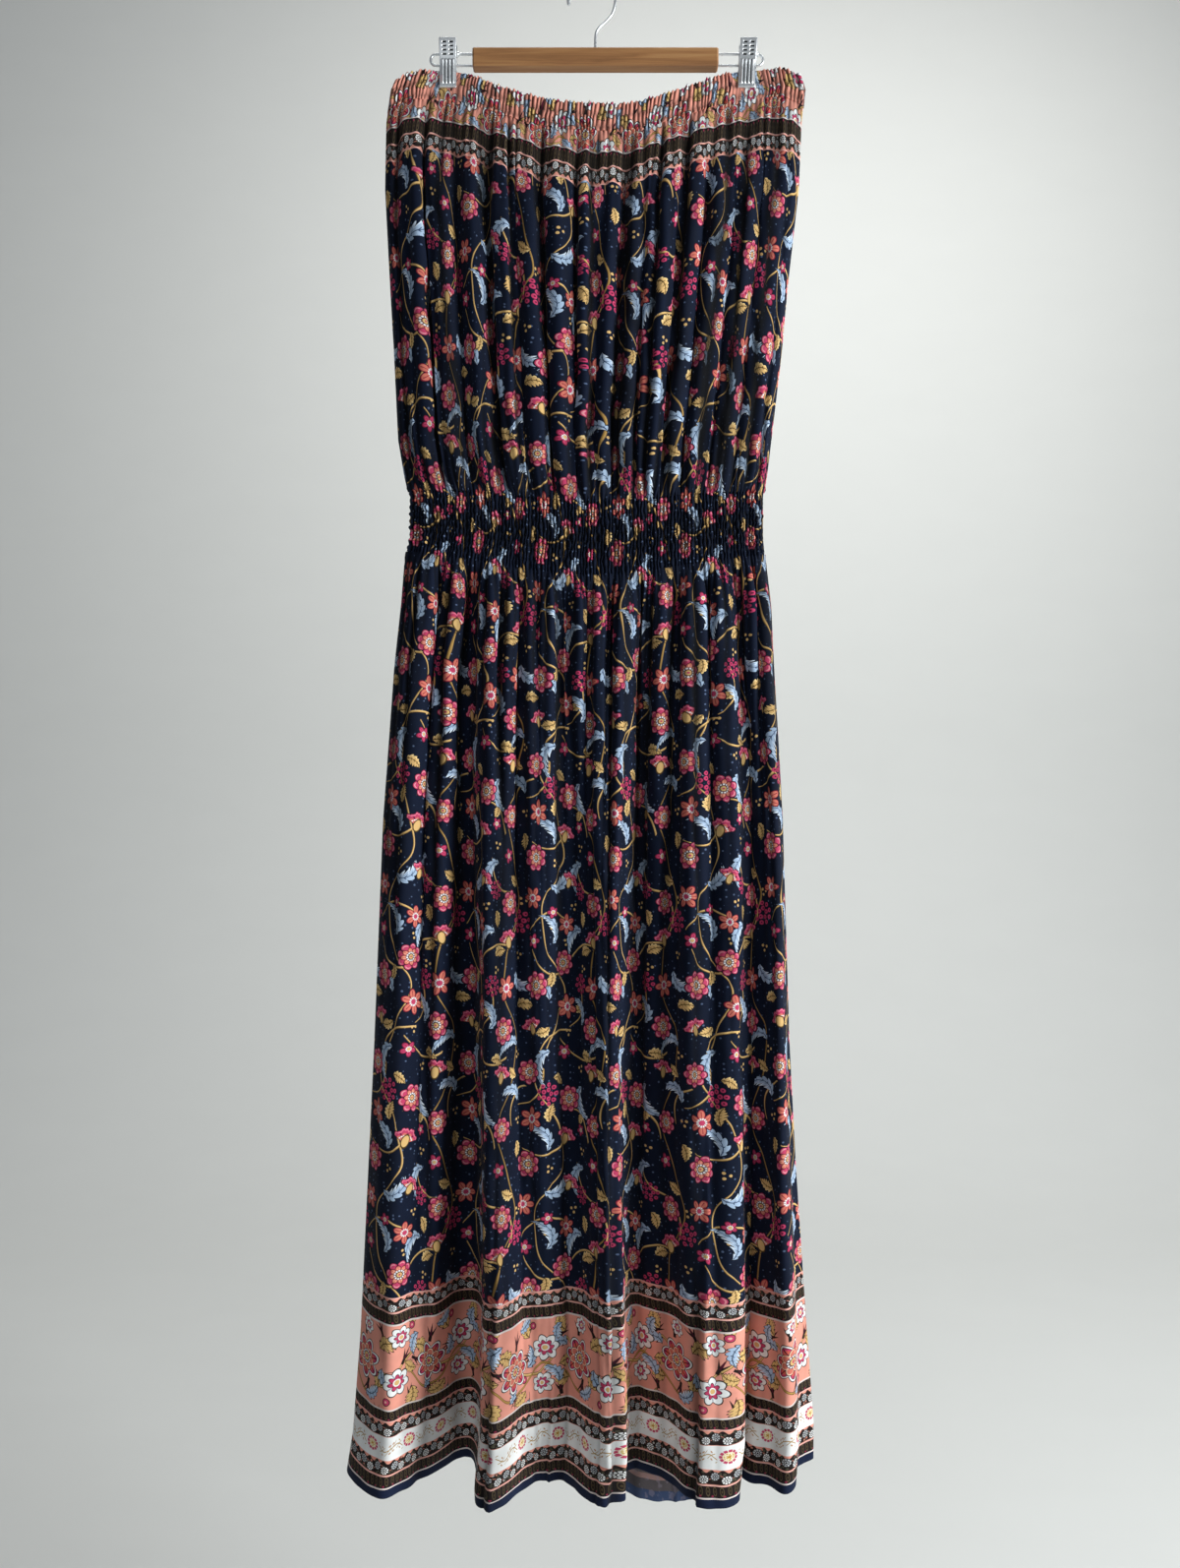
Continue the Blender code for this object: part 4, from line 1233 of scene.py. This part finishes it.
def make_waist(cloth_at, base_height):
    """The shirred band: gathers swell between the rows of elastic and draw in on them."""
    shares = seam_shares(WAIST_COLUMNS)
    levels = np.linspace(0, 1, SHIRR_ROWS * SHIRR_STEPS + 1)
    share, v = np.meshgrid(shares, levels)
    top, low = smooth_along(WAIST_TOP, share), smooth_along(WAIST_LOW, share)
    z = top + (low - top) * v
    for side in SIDES:
        seed = SEEDS[side]
        points = keep_seam_gap(place_at(share, oval(share, WAIST_DEPTH[side]), z))
        normal = outward_normals(points, side)
        inside = np.sin(np.pi * v)
        row = np.floor(v * SHIRR_ROWS)
        between = np.abs(np.sin(np.pi * SHIRR_ROWS * v))
        row_wave = np.sin(share * 1.9 + 2.4 * row) * between
        lean = 0.9 * inside * np.sin(share * 0.8 + 9 * v) + 1.3 * row_wave
        fine, fine_hollow, taken = gathers(share, WAIST_GATHERS, seed, lean)
        coarse_lean = 3.0 * np.sin(7 * v + share * 0.3) + 1.7 * row
        coarse, coarse_hollow, _ = gathers(share, 41, seed + 50, coarse_lean)
        puff = 0.34 + 0.66 * between**0.8
        puff = puff + (1 - puff) * np.where((levels == 0) | (levels == 1), 1.0, 0)[:, None]
        raised = (3.4 * fine + 1.9 * coarse * inside * between) * puff * seam_rounded(share, 0.8)
        shade = 0.85 * fine_hollow + 0.5 * coarse_hollow * inside + 0.3 * (1 - between) * inside
        outer = points + normal * (raised - 0.8)[:, :, None]
        inner = outer - normal * CLOTH
        along_share, along_cloth = cloth_at[side]
        u = np.interp(share, along_share, along_cloth) * PANEL_WIDTH
        taken_up = 0.5 * taken / (2 * np.pi * WAIST_GATHERS)
        u = u + PANEL_WIDTH * taken_up * seam_rounded(share)
        height = base_height + (z - low) / (top - low) * WAIST_LENGTH
        piece = shell(
            f"waist_band_{side}",
            side,
            outer,
            inner,
            np.stack([u, height], axis=-1),
            shade,
            ["navy_print"] * (len(levels) - 1),
            [(0.0, 1.0)] * (len(levels) - 1),
            (f"waist_{side}",),
        )


def make_bodice(cloth_at, base_height):
    """Soft folds between the casing and the waist, puffed out over the waist; gives each side."""
    edges, looks, places = band_rows(TOP_BANDS)
    border, length = edges[-1], BODICE_LENGTH
    lower = np.concatenate([np.linspace(border, 290, 26)[1:], [300, 308, 314, 319, 322.5, length]])
    rows = np.concatenate([edges, lower])
    looks = looks + ["navy_print"] * len(lower)
    places = places + [(0.0, 1.0)] * len(lower)
    for side in SIDES:
        seed = SEEDS[side]
        # The back lies flatter in the solid, so its folds stand out more.
        deep = 1.0 if side == "front" else 1.5
        share_top, low_share = (ring(bodice_lines, v, BODICE_STEPS)[side][:, 0] for v in (0.0, 1.0))
        grid = []
        for down in rows:
            v = down / length
            section = ring(bodice_lines, v, BODICE_STEPS)[side]
            share, depth = section[:, 0], section[:, 1]
            top, low = smooth_along(CASING_LOW, share), smooth_along(WAIST_TOP, share)
            wave = 1.6 * drift(share, 0 * share, seed + 70, reach=24)
            wave = wave + 3.4 * gathers(share, 14, seed + 60, crease=2.6)[0] - 2.0
            if down <= border:
                z = top - down + wave * np.sin(np.pi * down / border * 0.5)
            else:
                t = (down - border) / (length - border)
                z = (top - border + wave) * (1 - t) + low * t
            above = z - low
            puff = 3.4 * np.exp(-(((above - 17) / 15) ** 2)) * oval(np.clip(share, 0, 100), 1.0)
            waist = oval(np.clip(share, 0, 100), WAIST_DEPTH[side])
            depth = depth + (waist - depth) * (1 - ease(above / 10)) + OUTWARDS[side] * puff
            grid.append(place_at(share, depth, z))
        points = keep_seam_gap(np.array(grid))
        normal = outward_normals(points, side)
        low_grid = np.broadcast_to(low_share, points.shape[:2])
        top_grid = np.broadcast_to(share_top, points.shape[:2])
        above = points[:, :, 2] - points[-1:, :, 2]
        below = points[:1, :, 2] - points[:, :, 2]
        lean = 0.8 * drift(low_grid, points[:, :, 2], seed + 40, reach=60, fall=260)
        by_waist = (1 - falling(above, 7)) * falling(above, 42)
        by_casing = (1 - falling(below, 8)) * falling(below, 48)
        middle = (1 - falling(below, 16)) * (1 - falling(above, 22))
        lower_part = (1 - falling(below, 45)) * (1 - falling(above, 14))
        lower_part = lower_part * (0.25 + 0.75 * falling(above, 130))
        top_lean = lean * ease(below / 80)
        raised, shade, shift = summed(
            (
                (2.0, 0.9, 0.4, falling(above, 8), low_grid, WAIST_GATHERS, seed),
                (2.8, 0.95, 0.2, by_waist, low_grid, 52, seed + 20),
                (1.6, 0.8, 0.35, falling(below, 10), top_grid, CASING_GATHERS, seed + 80),
                (2.6, 0.9, 0.2, by_casing, top_grid, 46, seed + 90),
                (5.2 * deep, 0.9, 0.15, middle, top_grid, 14, seed + 60, top_lean, 2.6),
                (3.2 * deep, 0.7, 0.16, lower_part, low_grid, 29, seed + 50, lean, 2.0),
            )
        )
        uneven = drift(low_grid, points[:, :, 2], seed + 30)
        raised += 0.8 * uneven * ease(below / 60) * ease(above / 60)
        raised *= seam_rounded(top_grid, 2.5)
        outer = points + normal * raised[:, :, None]
        flat = normal.copy()
        flat[:, :, 2] *= 0.3
        inner = outer - flat * CLOTH
        along_share, along_cloth = cloth_at[side]
        cloth_across = np.interp(low_share, along_share, along_cloth)
        drawn_in = ease(above / above[:1])
        u = (cloth_across + drawn_in * (share_top / 100 - cloth_across)) * PANEL_WIDTH
        u = u + PANEL_WIDTH * seam_rounded(top_grid, 2.5) * shift
        height = base_height + WAIST_LENGTH + (length - rows)[:, None] * MM + 0 * u
        piece = shell(
            f"bodice_panel_{side}",
            side,
            outer,
            inner,
            np.stack([u, height], axis=-1),
            shade,
            looks,
            places,
            (f"bodice_{side}",),
        )
        length * MM
        yield side


def make_casing(side, top_height):
    """The turned edge over wide elastic, drawn in on two rows of stitches."""
    shares = seam_shares(CASING_COLUMNS)
    down = np.concatenate([[0, 0.35, 1.0, 2.2], np.linspace(4, 25.2, 18)])
    share, e = np.meshgrid(shares, down)
    neck, low = neck_height(shares)[None, :], smooth_along(CASING_LOW, shares)[None, :]
    depth = casing_depth(side, share)
    # 0 where a clip pinches the casing flat, 1 where it is free.
    free = np.clip(np.abs(depth) - 2.0, 0, 1)
    seed = SEEDS[side] + 80
    stitch = np.abs(np.sin(np.pi * np.clip(e / CASING_STITCH, 0, 2.0)))
    stitch = np.where(e < CASING_STITCH / 2, 1.0, stitch)
    tail = ease((e - 2 * CASING_STITCH) / 4)
    stitch_row = np.floor(e / CASING_STITCH)
    slant = 0.12 * e * np.sin(share * 0.45 + seed) + 1.3 * stitch_row * np.sin(share * 0.9)
    fine, hollow, taken = gathers(share, CASING_GATHERS, seed, lean=slant)
    swell = (0.3 + 0.7 * np.maximum(stitch, tail)) * free
    ruffle = 1.1 * drift(share, 0 * share, seed + 5, reach=12) + 0.9 * fine - 0.4
    ruffle = ruffle * falling(e, 3) * free
    z = neck + (low - neck) * e / down[-1] + ruffle
    points = keep_seam_gap(place_at(share, depth, z))
    normal = outward_normals(points, side)
    puffed = 0.5 * np.maximum(stitch, tail) * free
    raised = (2.5 * fine * swell + puffed - 0.3 * (1 - stitch)) * seam_rounded(share, 0.8)
    outer = points + normal * raised[:, :, None]
    thick = np.minimum(CASING_THICK, 0.9 + np.abs(depth) * 0.3)
    inner = points - normal * thick[:, :, None]
    outer[0] -= normal[0] * (0.9 + raised[0][:, None] * 0.5)
    outer[1] -= normal[1] * 0.35
    u = share / 100 * PANEL_WIDTH
    taken_up = 0.42 * taken / (2 * np.pi * CASING_GATHERS)
    u = u + PANEL_WIDTH * taken_up * seam_rounded(share) * free
    shade = 0.95 * hollow * (0.6 + 0.4 * swell) + 0.4 * (1 - stitch) * (1 - tail)
    height = top_height + (down[-1] - e) * MM
    piece = shell(
        f"casing_ruffle_{side}",
        side,
        outer,
        inner,
        np.stack([u, height], axis=-1),
        shade,
        ["coral_print"] * (len(down) - 1),
        [(0.0, 1.0)] * (len(down) - 1),
        (f"casing_{side}",),
    )


def seam_shares(count):
    """Shares across a panel, closer together round the seams."""
    t = np.linspace(0, 1, count + 1)
    return 100 * (t - 0.9 * np.sin(2 * np.pi * t) / (2 * np.pi) * np.abs(2 * t - 1) ** 3)


def mesh_of(name, points, faces):
    mesh = bpy.data.meshes.new(name)
    mesh.from_pydata((np.array(points, float) * MM).tolist(), [], faces)
    mesh.update()
    return mesh


def tube(points, radii, sides=28):
    """Vertices and faces of a round rod along points, with a radius at each."""
    points = np.array(points, float)
    tangent = np.gradient(points, axis=0)
    tangent /= np.linalg.norm(tangent, axis=1)[:, None]
    side = np.cross(tangent, (0.0, 1.0, 0.0))
    upright = np.linalg.norm(side, axis=1) < 0.2
    side[upright] = (1.0, 0.0, 0.0)
    side /= np.linalg.norm(side, axis=1)[:, None]
    other = np.cross(tangent, side)
    angle = 2 * np.pi * np.arange(sides) / sides
    cosine, sine = (wave(angle)[None, :, None] for wave in (np.cos, np.sin))
    circle = cosine * side[:, None] + sine * other[:, None]
    verts = points[:, None] + circle * np.array(radii, float)[:, None, None]
    faces = []
    for row in range(len(points) - 1):
        for k in range(sides):
            after = (k + 1) % sides
            low, high = row * sides, (row + 1) * sides
            faces.append((low + k, low + after, high + after, high + k))
    faces.append(tuple(range(sides))[::-1])
    faces.append(tuple(range((len(points) - 1) * sides, len(points) * sides)))
    return verts.reshape(-1, 3), faces


def joined(parts):
    points, faces = [], []
    for part_points, part_faces in parts:
        start = sum(len(p) for p in points)
        points.append(part_points)
        faces += [tuple(start + index for index in face) for face in part_faces]
    return np.concatenate(points), faces


def arc(centre_x, centre_z, radius, start, end, steps):
    angles = np.radians(np.linspace(start, end, steps + 1))
    return [(centre_x + radius * np.cos(a), 0, centre_z + radius * np.sin(a)) for a in angles]


def open_spline(points, steps):
    points = np.array(points, float)
    ends = np.concatenate([[2 * points[0] - points[1]], points, [2 * points[-1] - points[-2]]])
    curve = catmull_rom(ends[:-3], ends[1:-2], ends[2:-1], ends[3:], steps)
    return np.concatenate([curve, points[-1:]])


def metal(name, dull, bright):
    """Plated steel, a little uneven in tone, gloss and relief."""
    made, tree = new_material(name)
    place = add(tree, "ShaderNodeTexCoord", output="Object")
    noise = add(tree, "ShaderNodeTexNoise", {"Vector": place, "Scale": 500, "Detail": 2})
    worn = add(tree, "ShaderNodeMapRange", {0: noise, "To Min": 0.24, "To Max": 0.34})
    inputs = {
        "Metallic": 0.8,
        "Roughness": worn,
        "Base Color": mixed(tree, noise, colour(dull), colour(bright)),
        "Normal": bumps(tree, noise, 0.02, 0.0001),
    }
    feed_shader(tree, inputs)
    return made


def wood():
    """Straight light brown grain along the bar, under a satin varnish."""
    made, tree = new_material("wood")
    place = add(tree, "ShaderNodeTexCoord", output="Object")
    stretched = add(tree, "ShaderNodeMapping", {"Vector": place, "Scale": (9, 240, 240)})
    grain = {"Vector": stretched, "Scale": 1.0, "Detail": 7, "Roughness": 0.62, "Distortion": 0.5}
    noise = add(tree, "ShaderNodeTexNoise", grain)
    tones = ((0.28, "#7a5233"), (0.5, "#9a6d44"), (0.74, "#ae8457"))
    inputs = {
        "Base Color": ramp(tree, noise, tones),
        "Normal": bumps(tree, noise, 0.25, 0.0002),
        "Roughness": 0.5,
        "Specular IOR Level": 0.3,
        "Coat Weight": 0.05,
        "Coat Roughness": 0.3,
    }
    feed_shader(tree, inputs)
    return made


# The hanger: its bar, wires, hook, and the jaws of its clips.
BAR_LENGTH, BAR_CENTRE_Z, BAR_TOP = 221.0, -73.4, -65.05
WIRE_RADIUS, WIRE_SPACING = 1.2, 10.2
WIRE_ENDS = (-148.6, 151.3)
# How far the wires reach into the ends of the bar.
SOCKET_DEPTH = 5.7
HOOK_RADIUS = 21.0
HOOK_ARC = (191, -14)
HOOK_NECK = ((18.0, -32.0), (13.0, -38.0), (7.2, -43.4), (3.9, -48.5), (3.1, -56), (3.1, -68))
JAW_WIDTH, JAW_THICKNESS, JAW_HEIGHT, JAW_TOP, JAW_FLARE = 15.2, 1.0, 43.5, -56.5, 3.4
JAW_COLUMNS, JAW_ROWS = 49, 105
FLUTES, FLUTE_TOP, CHEEK_TOP, CHEEK_LOW = 4, -74.0, -64.0, -82.4
CLIPS = (("left", -132.8, 0.0), ("right", 137.1, 0.05))
# The spring's end: turns, radius, reach along the wire, and radius of its own wire.
SPRING = (2.25, 2.1, 2.2, 0.38)


def metal_piece(name, node, points, faces, look):
    mesh = mesh_of(name, points, faces)
    mesh.materials.append(look)
    new_piece(name, mesh, (node,), HARD_CREASE)
    return mesh


def make_hook(chrome):
    """The open hook with a plain rounded end, in a small ferrule on the bar."""
    centre_z = WIRE_RADIUS - HOOK_RADIUS
    route = arc(0, centre_z, HOOK_RADIUS, *HOOK_ARC, 40)
    bend = open_spline([route[-1], *[(x, 0, z) for x, z in HOOK_NECK]], 6)
    route = np.concatenate([route[:-1], bend])
    radii = np.full(len(route), WIRE_RADIUS)
    radii[:4] = (1.35, 1.7, 1.7, 1.45)
    ferrule_at = [(MIDDLE, 0, BAR_TOP + rise) for rise in (-0.3, 0.3, 1.1)]
    ferrule = tube(ferrule_at, (3.1, 3.1, 2.3))
    points, faces = joined([tube(route, radii), ferrule])
    metal_piece("hook_wire", "hanger_hook", points, faces, chrome)


def make_wires(chrome):
    """Closed loops with rounded corners, one out of each end of the bar."""
    upper, lower = BAR_CENTRE_Z + WIRE_SPACING / 2, BAR_CENTRE_Z - WIRE_SPACING / 2
    for name, end, tip in (("left", -1, WIRE_ENDS[0]), ("right", 1, WIRE_ENDS[1])):
        inside = MIDDLE + end * (BAR_LENGTH / 2 - SOCKET_DEPTH)
        radius = WIRE_SPACING / 2
        centre = MIDDLE + tip - end * radius
        route = [(x, 0, upper) for x in np.linspace(inside, centre, 12)[:-1]]
        route += arc(centre, BAR_CENTRE_Z, radius, 90, 90 - end * 180, 20)
        route += [(x, 0, lower) for x in np.linspace(centre, inside, 12)[1:]]
        points, faces = tube(route, np.full(len(route), WIRE_RADIUS))
        metal_piece(f"wire_loop_{name}", f"hanger_wire_{name}", points, faces, chrome)


def jaw_depth(height):
    return 2.3 + JAW_FLARE * ease((height - CHEEK_LOW) / (JAW_TOP - CHEEK_LOW))


def jaw_parts(centre, lean, outwards):
    """A pressed plate with short slots above, upright flutes below and a rolled lower edge.

    Gives its parts, and for each face of the outer grid whether it lies in a groove.
    """
    half = JAW_WIDTH / 2
    xs = np.linspace(-half, half, JAW_COLUMNS)
    zs = np.linspace(JAW_TOP, JAW_TOP - JAW_HEIGHT, JAW_ROWS)
    x, z = np.meshgrid(xs, zs)
    pitch = (JAW_WIDTH - 2.4) / FLUTES
    wave = 0.5 - 0.5 * np.cos(2 * np.pi * (x + half - 1.2) / pitch)
    wave = np.where(np.abs(x) > half - 1.2, 0, wave)
    low = JAW_TOP - JAW_HEIGHT
    fluted = ease((FLUTE_TOP - z) / 1.6) * ease((z - low - 3.2) / 1.4)
    roll = 0.9 * np.sqrt(np.clip(1 - ((z - low - 1.3) / 1.3) ** 2, 0, 1))
    column_at = np.abs(np.abs(x) - 3.1)
    row_at = np.abs((z - JAW_TOP + 2.2) % -3.4 + 1.7)
    slot = (1 - ease((column_at - 1.5) / 0.5)) * (1 - ease((row_at - 0.55) / 0.35))
    slot = slot * (z < JAW_TOP - 1.6) * (z > JAW_TOP - 15.6)
    edge = ease((half - np.abs(x)) / 0.5) * ease((JAW_TOP - z) / 0.5)
    plate = jaw_depth(z) + JAW_THICKNESS * (0.55 + 0.45 * edge)
    depth = plate + 1.1 * wave * fluted + roll - 0.75 * slot
    lifted = centre + x + (z - BAR_CENTRE_Z) * lean
    outer = np.stack([lifted, outwards * depth, z], axis=-1)
    inner = np.stack([lifted, outwards * jaw_depth(z), z], axis=-1)
    faces = closed_faces(*x.shape)
    if outwards > 0:
        faces = faces[:, ::-1]
    points = np.concatenate([outer.reshape(-1, 3), inner.reshape(-1, 3)])
    parts = [(points, faces.tolist())]
    for end in (-1, 1):
        parts.append(cheek(centre + end * (half - 0.6), outwards))
    groove = (slot > 0.3) | ((fluted > 0.5) & (wave < 0.24) & (np.abs(x) < half - 1.6))
    return parts, groove[:-1, :-1].reshape(-1)


def cheek(x, outwards):
    """A side plate of the clip, rounded where it wraps the wires."""
    heights = np.linspace(CHEEK_TOP, CHEEK_LOW, 13)
    points, faces = [], []
    for z in heights:
        reach = 3.4 + 0.2 * np.cos(np.pi * (z - CHEEK_TOP) / (CHEEK_LOW - CHEEK_TOP))
        for side in (-0.5, 0.5):
            for depth in (0.35, reach):
                points.append((x + side, outwards * depth, z))
    for row in range(len(heights) - 1):
        low, high = 4 * row, 4 * row + 4
        for one, two in ((0, 1), (1, 3), (3, 2), (2, 0)):
            faces.append((low + one, low + two, high + two, high + one))
    faces.append((0, 2, 3, 1))
    last = 4 * (len(heights) - 1)
    faces.append((last, last + 1, last + 3, last + 2))
    return np.array(points), faces


def spring_end(centre):
    """The spring's end, coiled round the upper wire beside the jaw."""
    turns, radius, reach, wire = SPRING
    angle = np.linspace(0, 2 * np.pi * turns, 60)
    x = centre + JAW_WIDTH / 2 + 0.3 + reach * angle / angle[-1]
    z = BAR_CENTRE_Z + WIRE_SPACING / 2 + radius * np.cos(angle)
    coil = np.column_stack([x, radius * np.sin(angle), z])
    return tube(coil, np.full(len(coil), wire), 10)


def make_clips(chrome, shadowed):
    for name, centre, lean in CLIPS:
        for side, outwards in OUTWARDS.items():
            parts, groove = jaw_parts(centre + MIDDLE, lean, outwards)
            if side == "front":
                parts.append(spring_end(centre + MIDDLE))
            points, faces = joined(parts)
            jaw, node = f"jaw_{name}_{side}", f"clip_{name}_{side}"
            mesh = metal_piece(jaw, node, points, faces, chrome)
            # Faces in the slots and flute valleys take the second, near-black chrome: painted shade
            # in the grooves.
            mesh.materials.append(shadowed)
            for face in np.flatnonzero(groove):
                mesh.polygons[face].material_index = 1


def wall_paint():
    made, tree = new_material("studio")
    light = colour("#d7d7d4")
    dull = (*(0.97 * part for part in light[:3]), 1)
    noise = add(tree, "ShaderNodeTexNoise", {"Scale": 60})
    feed_shader(tree, {"Base Color": mixed(tree, noise, light, dull), "Roughness": 0.9})
    return made


def make_studio():
    """A pale floor that curves up behind into a backdrop."""
    near_y, floor_z, wall_y, top_z, half_width, curve = -3.5, -1.75, 2.7, 3.5, 6, 1.2
    profile = [(near_y, floor_z), (wall_y - curve, floor_z)]
    for angle in np.radians(np.linspace(-80, 0, 15)):
        y = wall_y - curve + curve * np.cos(angle)
        profile.append((y, floor_z + curve + curve * np.sin(angle)))
    profile.append((wall_y, top_z))
    points = [(x, y, z) for y, z in profile for x in (-half_width, half_width)]
    faces = [(k, k + 1, k + 3, k + 2) for k in range(0, 2 * len(profile) - 2, 2)]
    mesh = bpy.data.meshes.new("studio")
    mesh.from_pydata(points, [], faces)
    mesh.materials.append(wall_paint())
    mesh.shade_smooth()
    floor = new_object("studio", mesh)
    floor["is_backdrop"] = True


# Lights: name, place, aim, size, watts, tint.
LIGHTS = (
    ("window", (2.0, -1.05, -0.45), (0, 0, -0.72), (0.9, 1.9), 80, (0.94, 0.985, 1.0)),
    ("fill", (-0.9, -2.6, 0.2), (0, 0, -0.7), (1.6, 1.6), 5, (0.92, 0.96, 1.0)),
    ("backdrop_light", (0.6, 0.7, 1.6), (0.2, 2.7, -0.9), (2.4, 0.8), 53, (0.99, 1.0, 0.98)),
)


def area_light(name, place, aim, size, power, tint):
    light = bpy.data.lights.new(name, "AREA")
    light.shape = "RECTANGLE"
    light.size, light.size_y = size
    light.energy = power
    light.color = tint
    lamp = new_object(name, light)
    lamp.location = place
    way = np.array(aim, float) - np.array(place, float)
    lamp.rotation_euler = Vector(way).to_track_quat("-Z", "Y").to_euler()


def make_camera():
    lens = bpy.data.cameras.new("camera")
    lens.sensor_fit = "VERTICAL"
    lens.sensor_height = 36.0
    lens.lens = 27.05
    lens.clip_end = 50
    camera = new_object("camera", lens)
    camera.location = (-0.0018, -1.063, -0.7265)
    camera.rotation_euler = (np.pi / 2, 0, 0)
    bpy.context.scene.camera = camera


def make_world():
    world = bpy.data.worlds.new("world")
    world.use_nodes = True
    sky = world.node_tree.nodes["Background"]
    sky.inputs["Color"].default_value = (0.86, 0.92, 1.0, 1)
    sky.inputs["Strength"].default_value = 0.20
    bpy.context.scene.world = world


chrome_look = metal("chrome", "#d4d7d9", "#f0f2f3")
make_hook(chrome_look)
make_wires(chrome_look)
# The jaws' grooves get a near-black chrome: painted shade in the slots and flute valleys.
make_clips(chrome_look, metal("chrome_groove_shade", "#15171a", "#24282b"))
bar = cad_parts["hanger_bar"]
bar.data.materials.clear()
bar.data.materials.append(wood())

cloth_at, waist_height = make_skirt()
make_waist(cloth_at, waist_height)
for side in make_bodice(cloth_at, waist_height):
    make_casing(side, waist_height + WAIST_LENGTH + BODICE_LENGTH * MM)

make_studio()
make_camera()
make_world()
for lamp in LIGHTS:
    area_light(*lamp)
bpy.context.scene.view_settings.view_transform = "Standard"

sizes = {"cad": cad_box, "visual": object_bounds()}
{key: [[float(x) for x in corner] for corner in box] for key, box in sizes.items()}
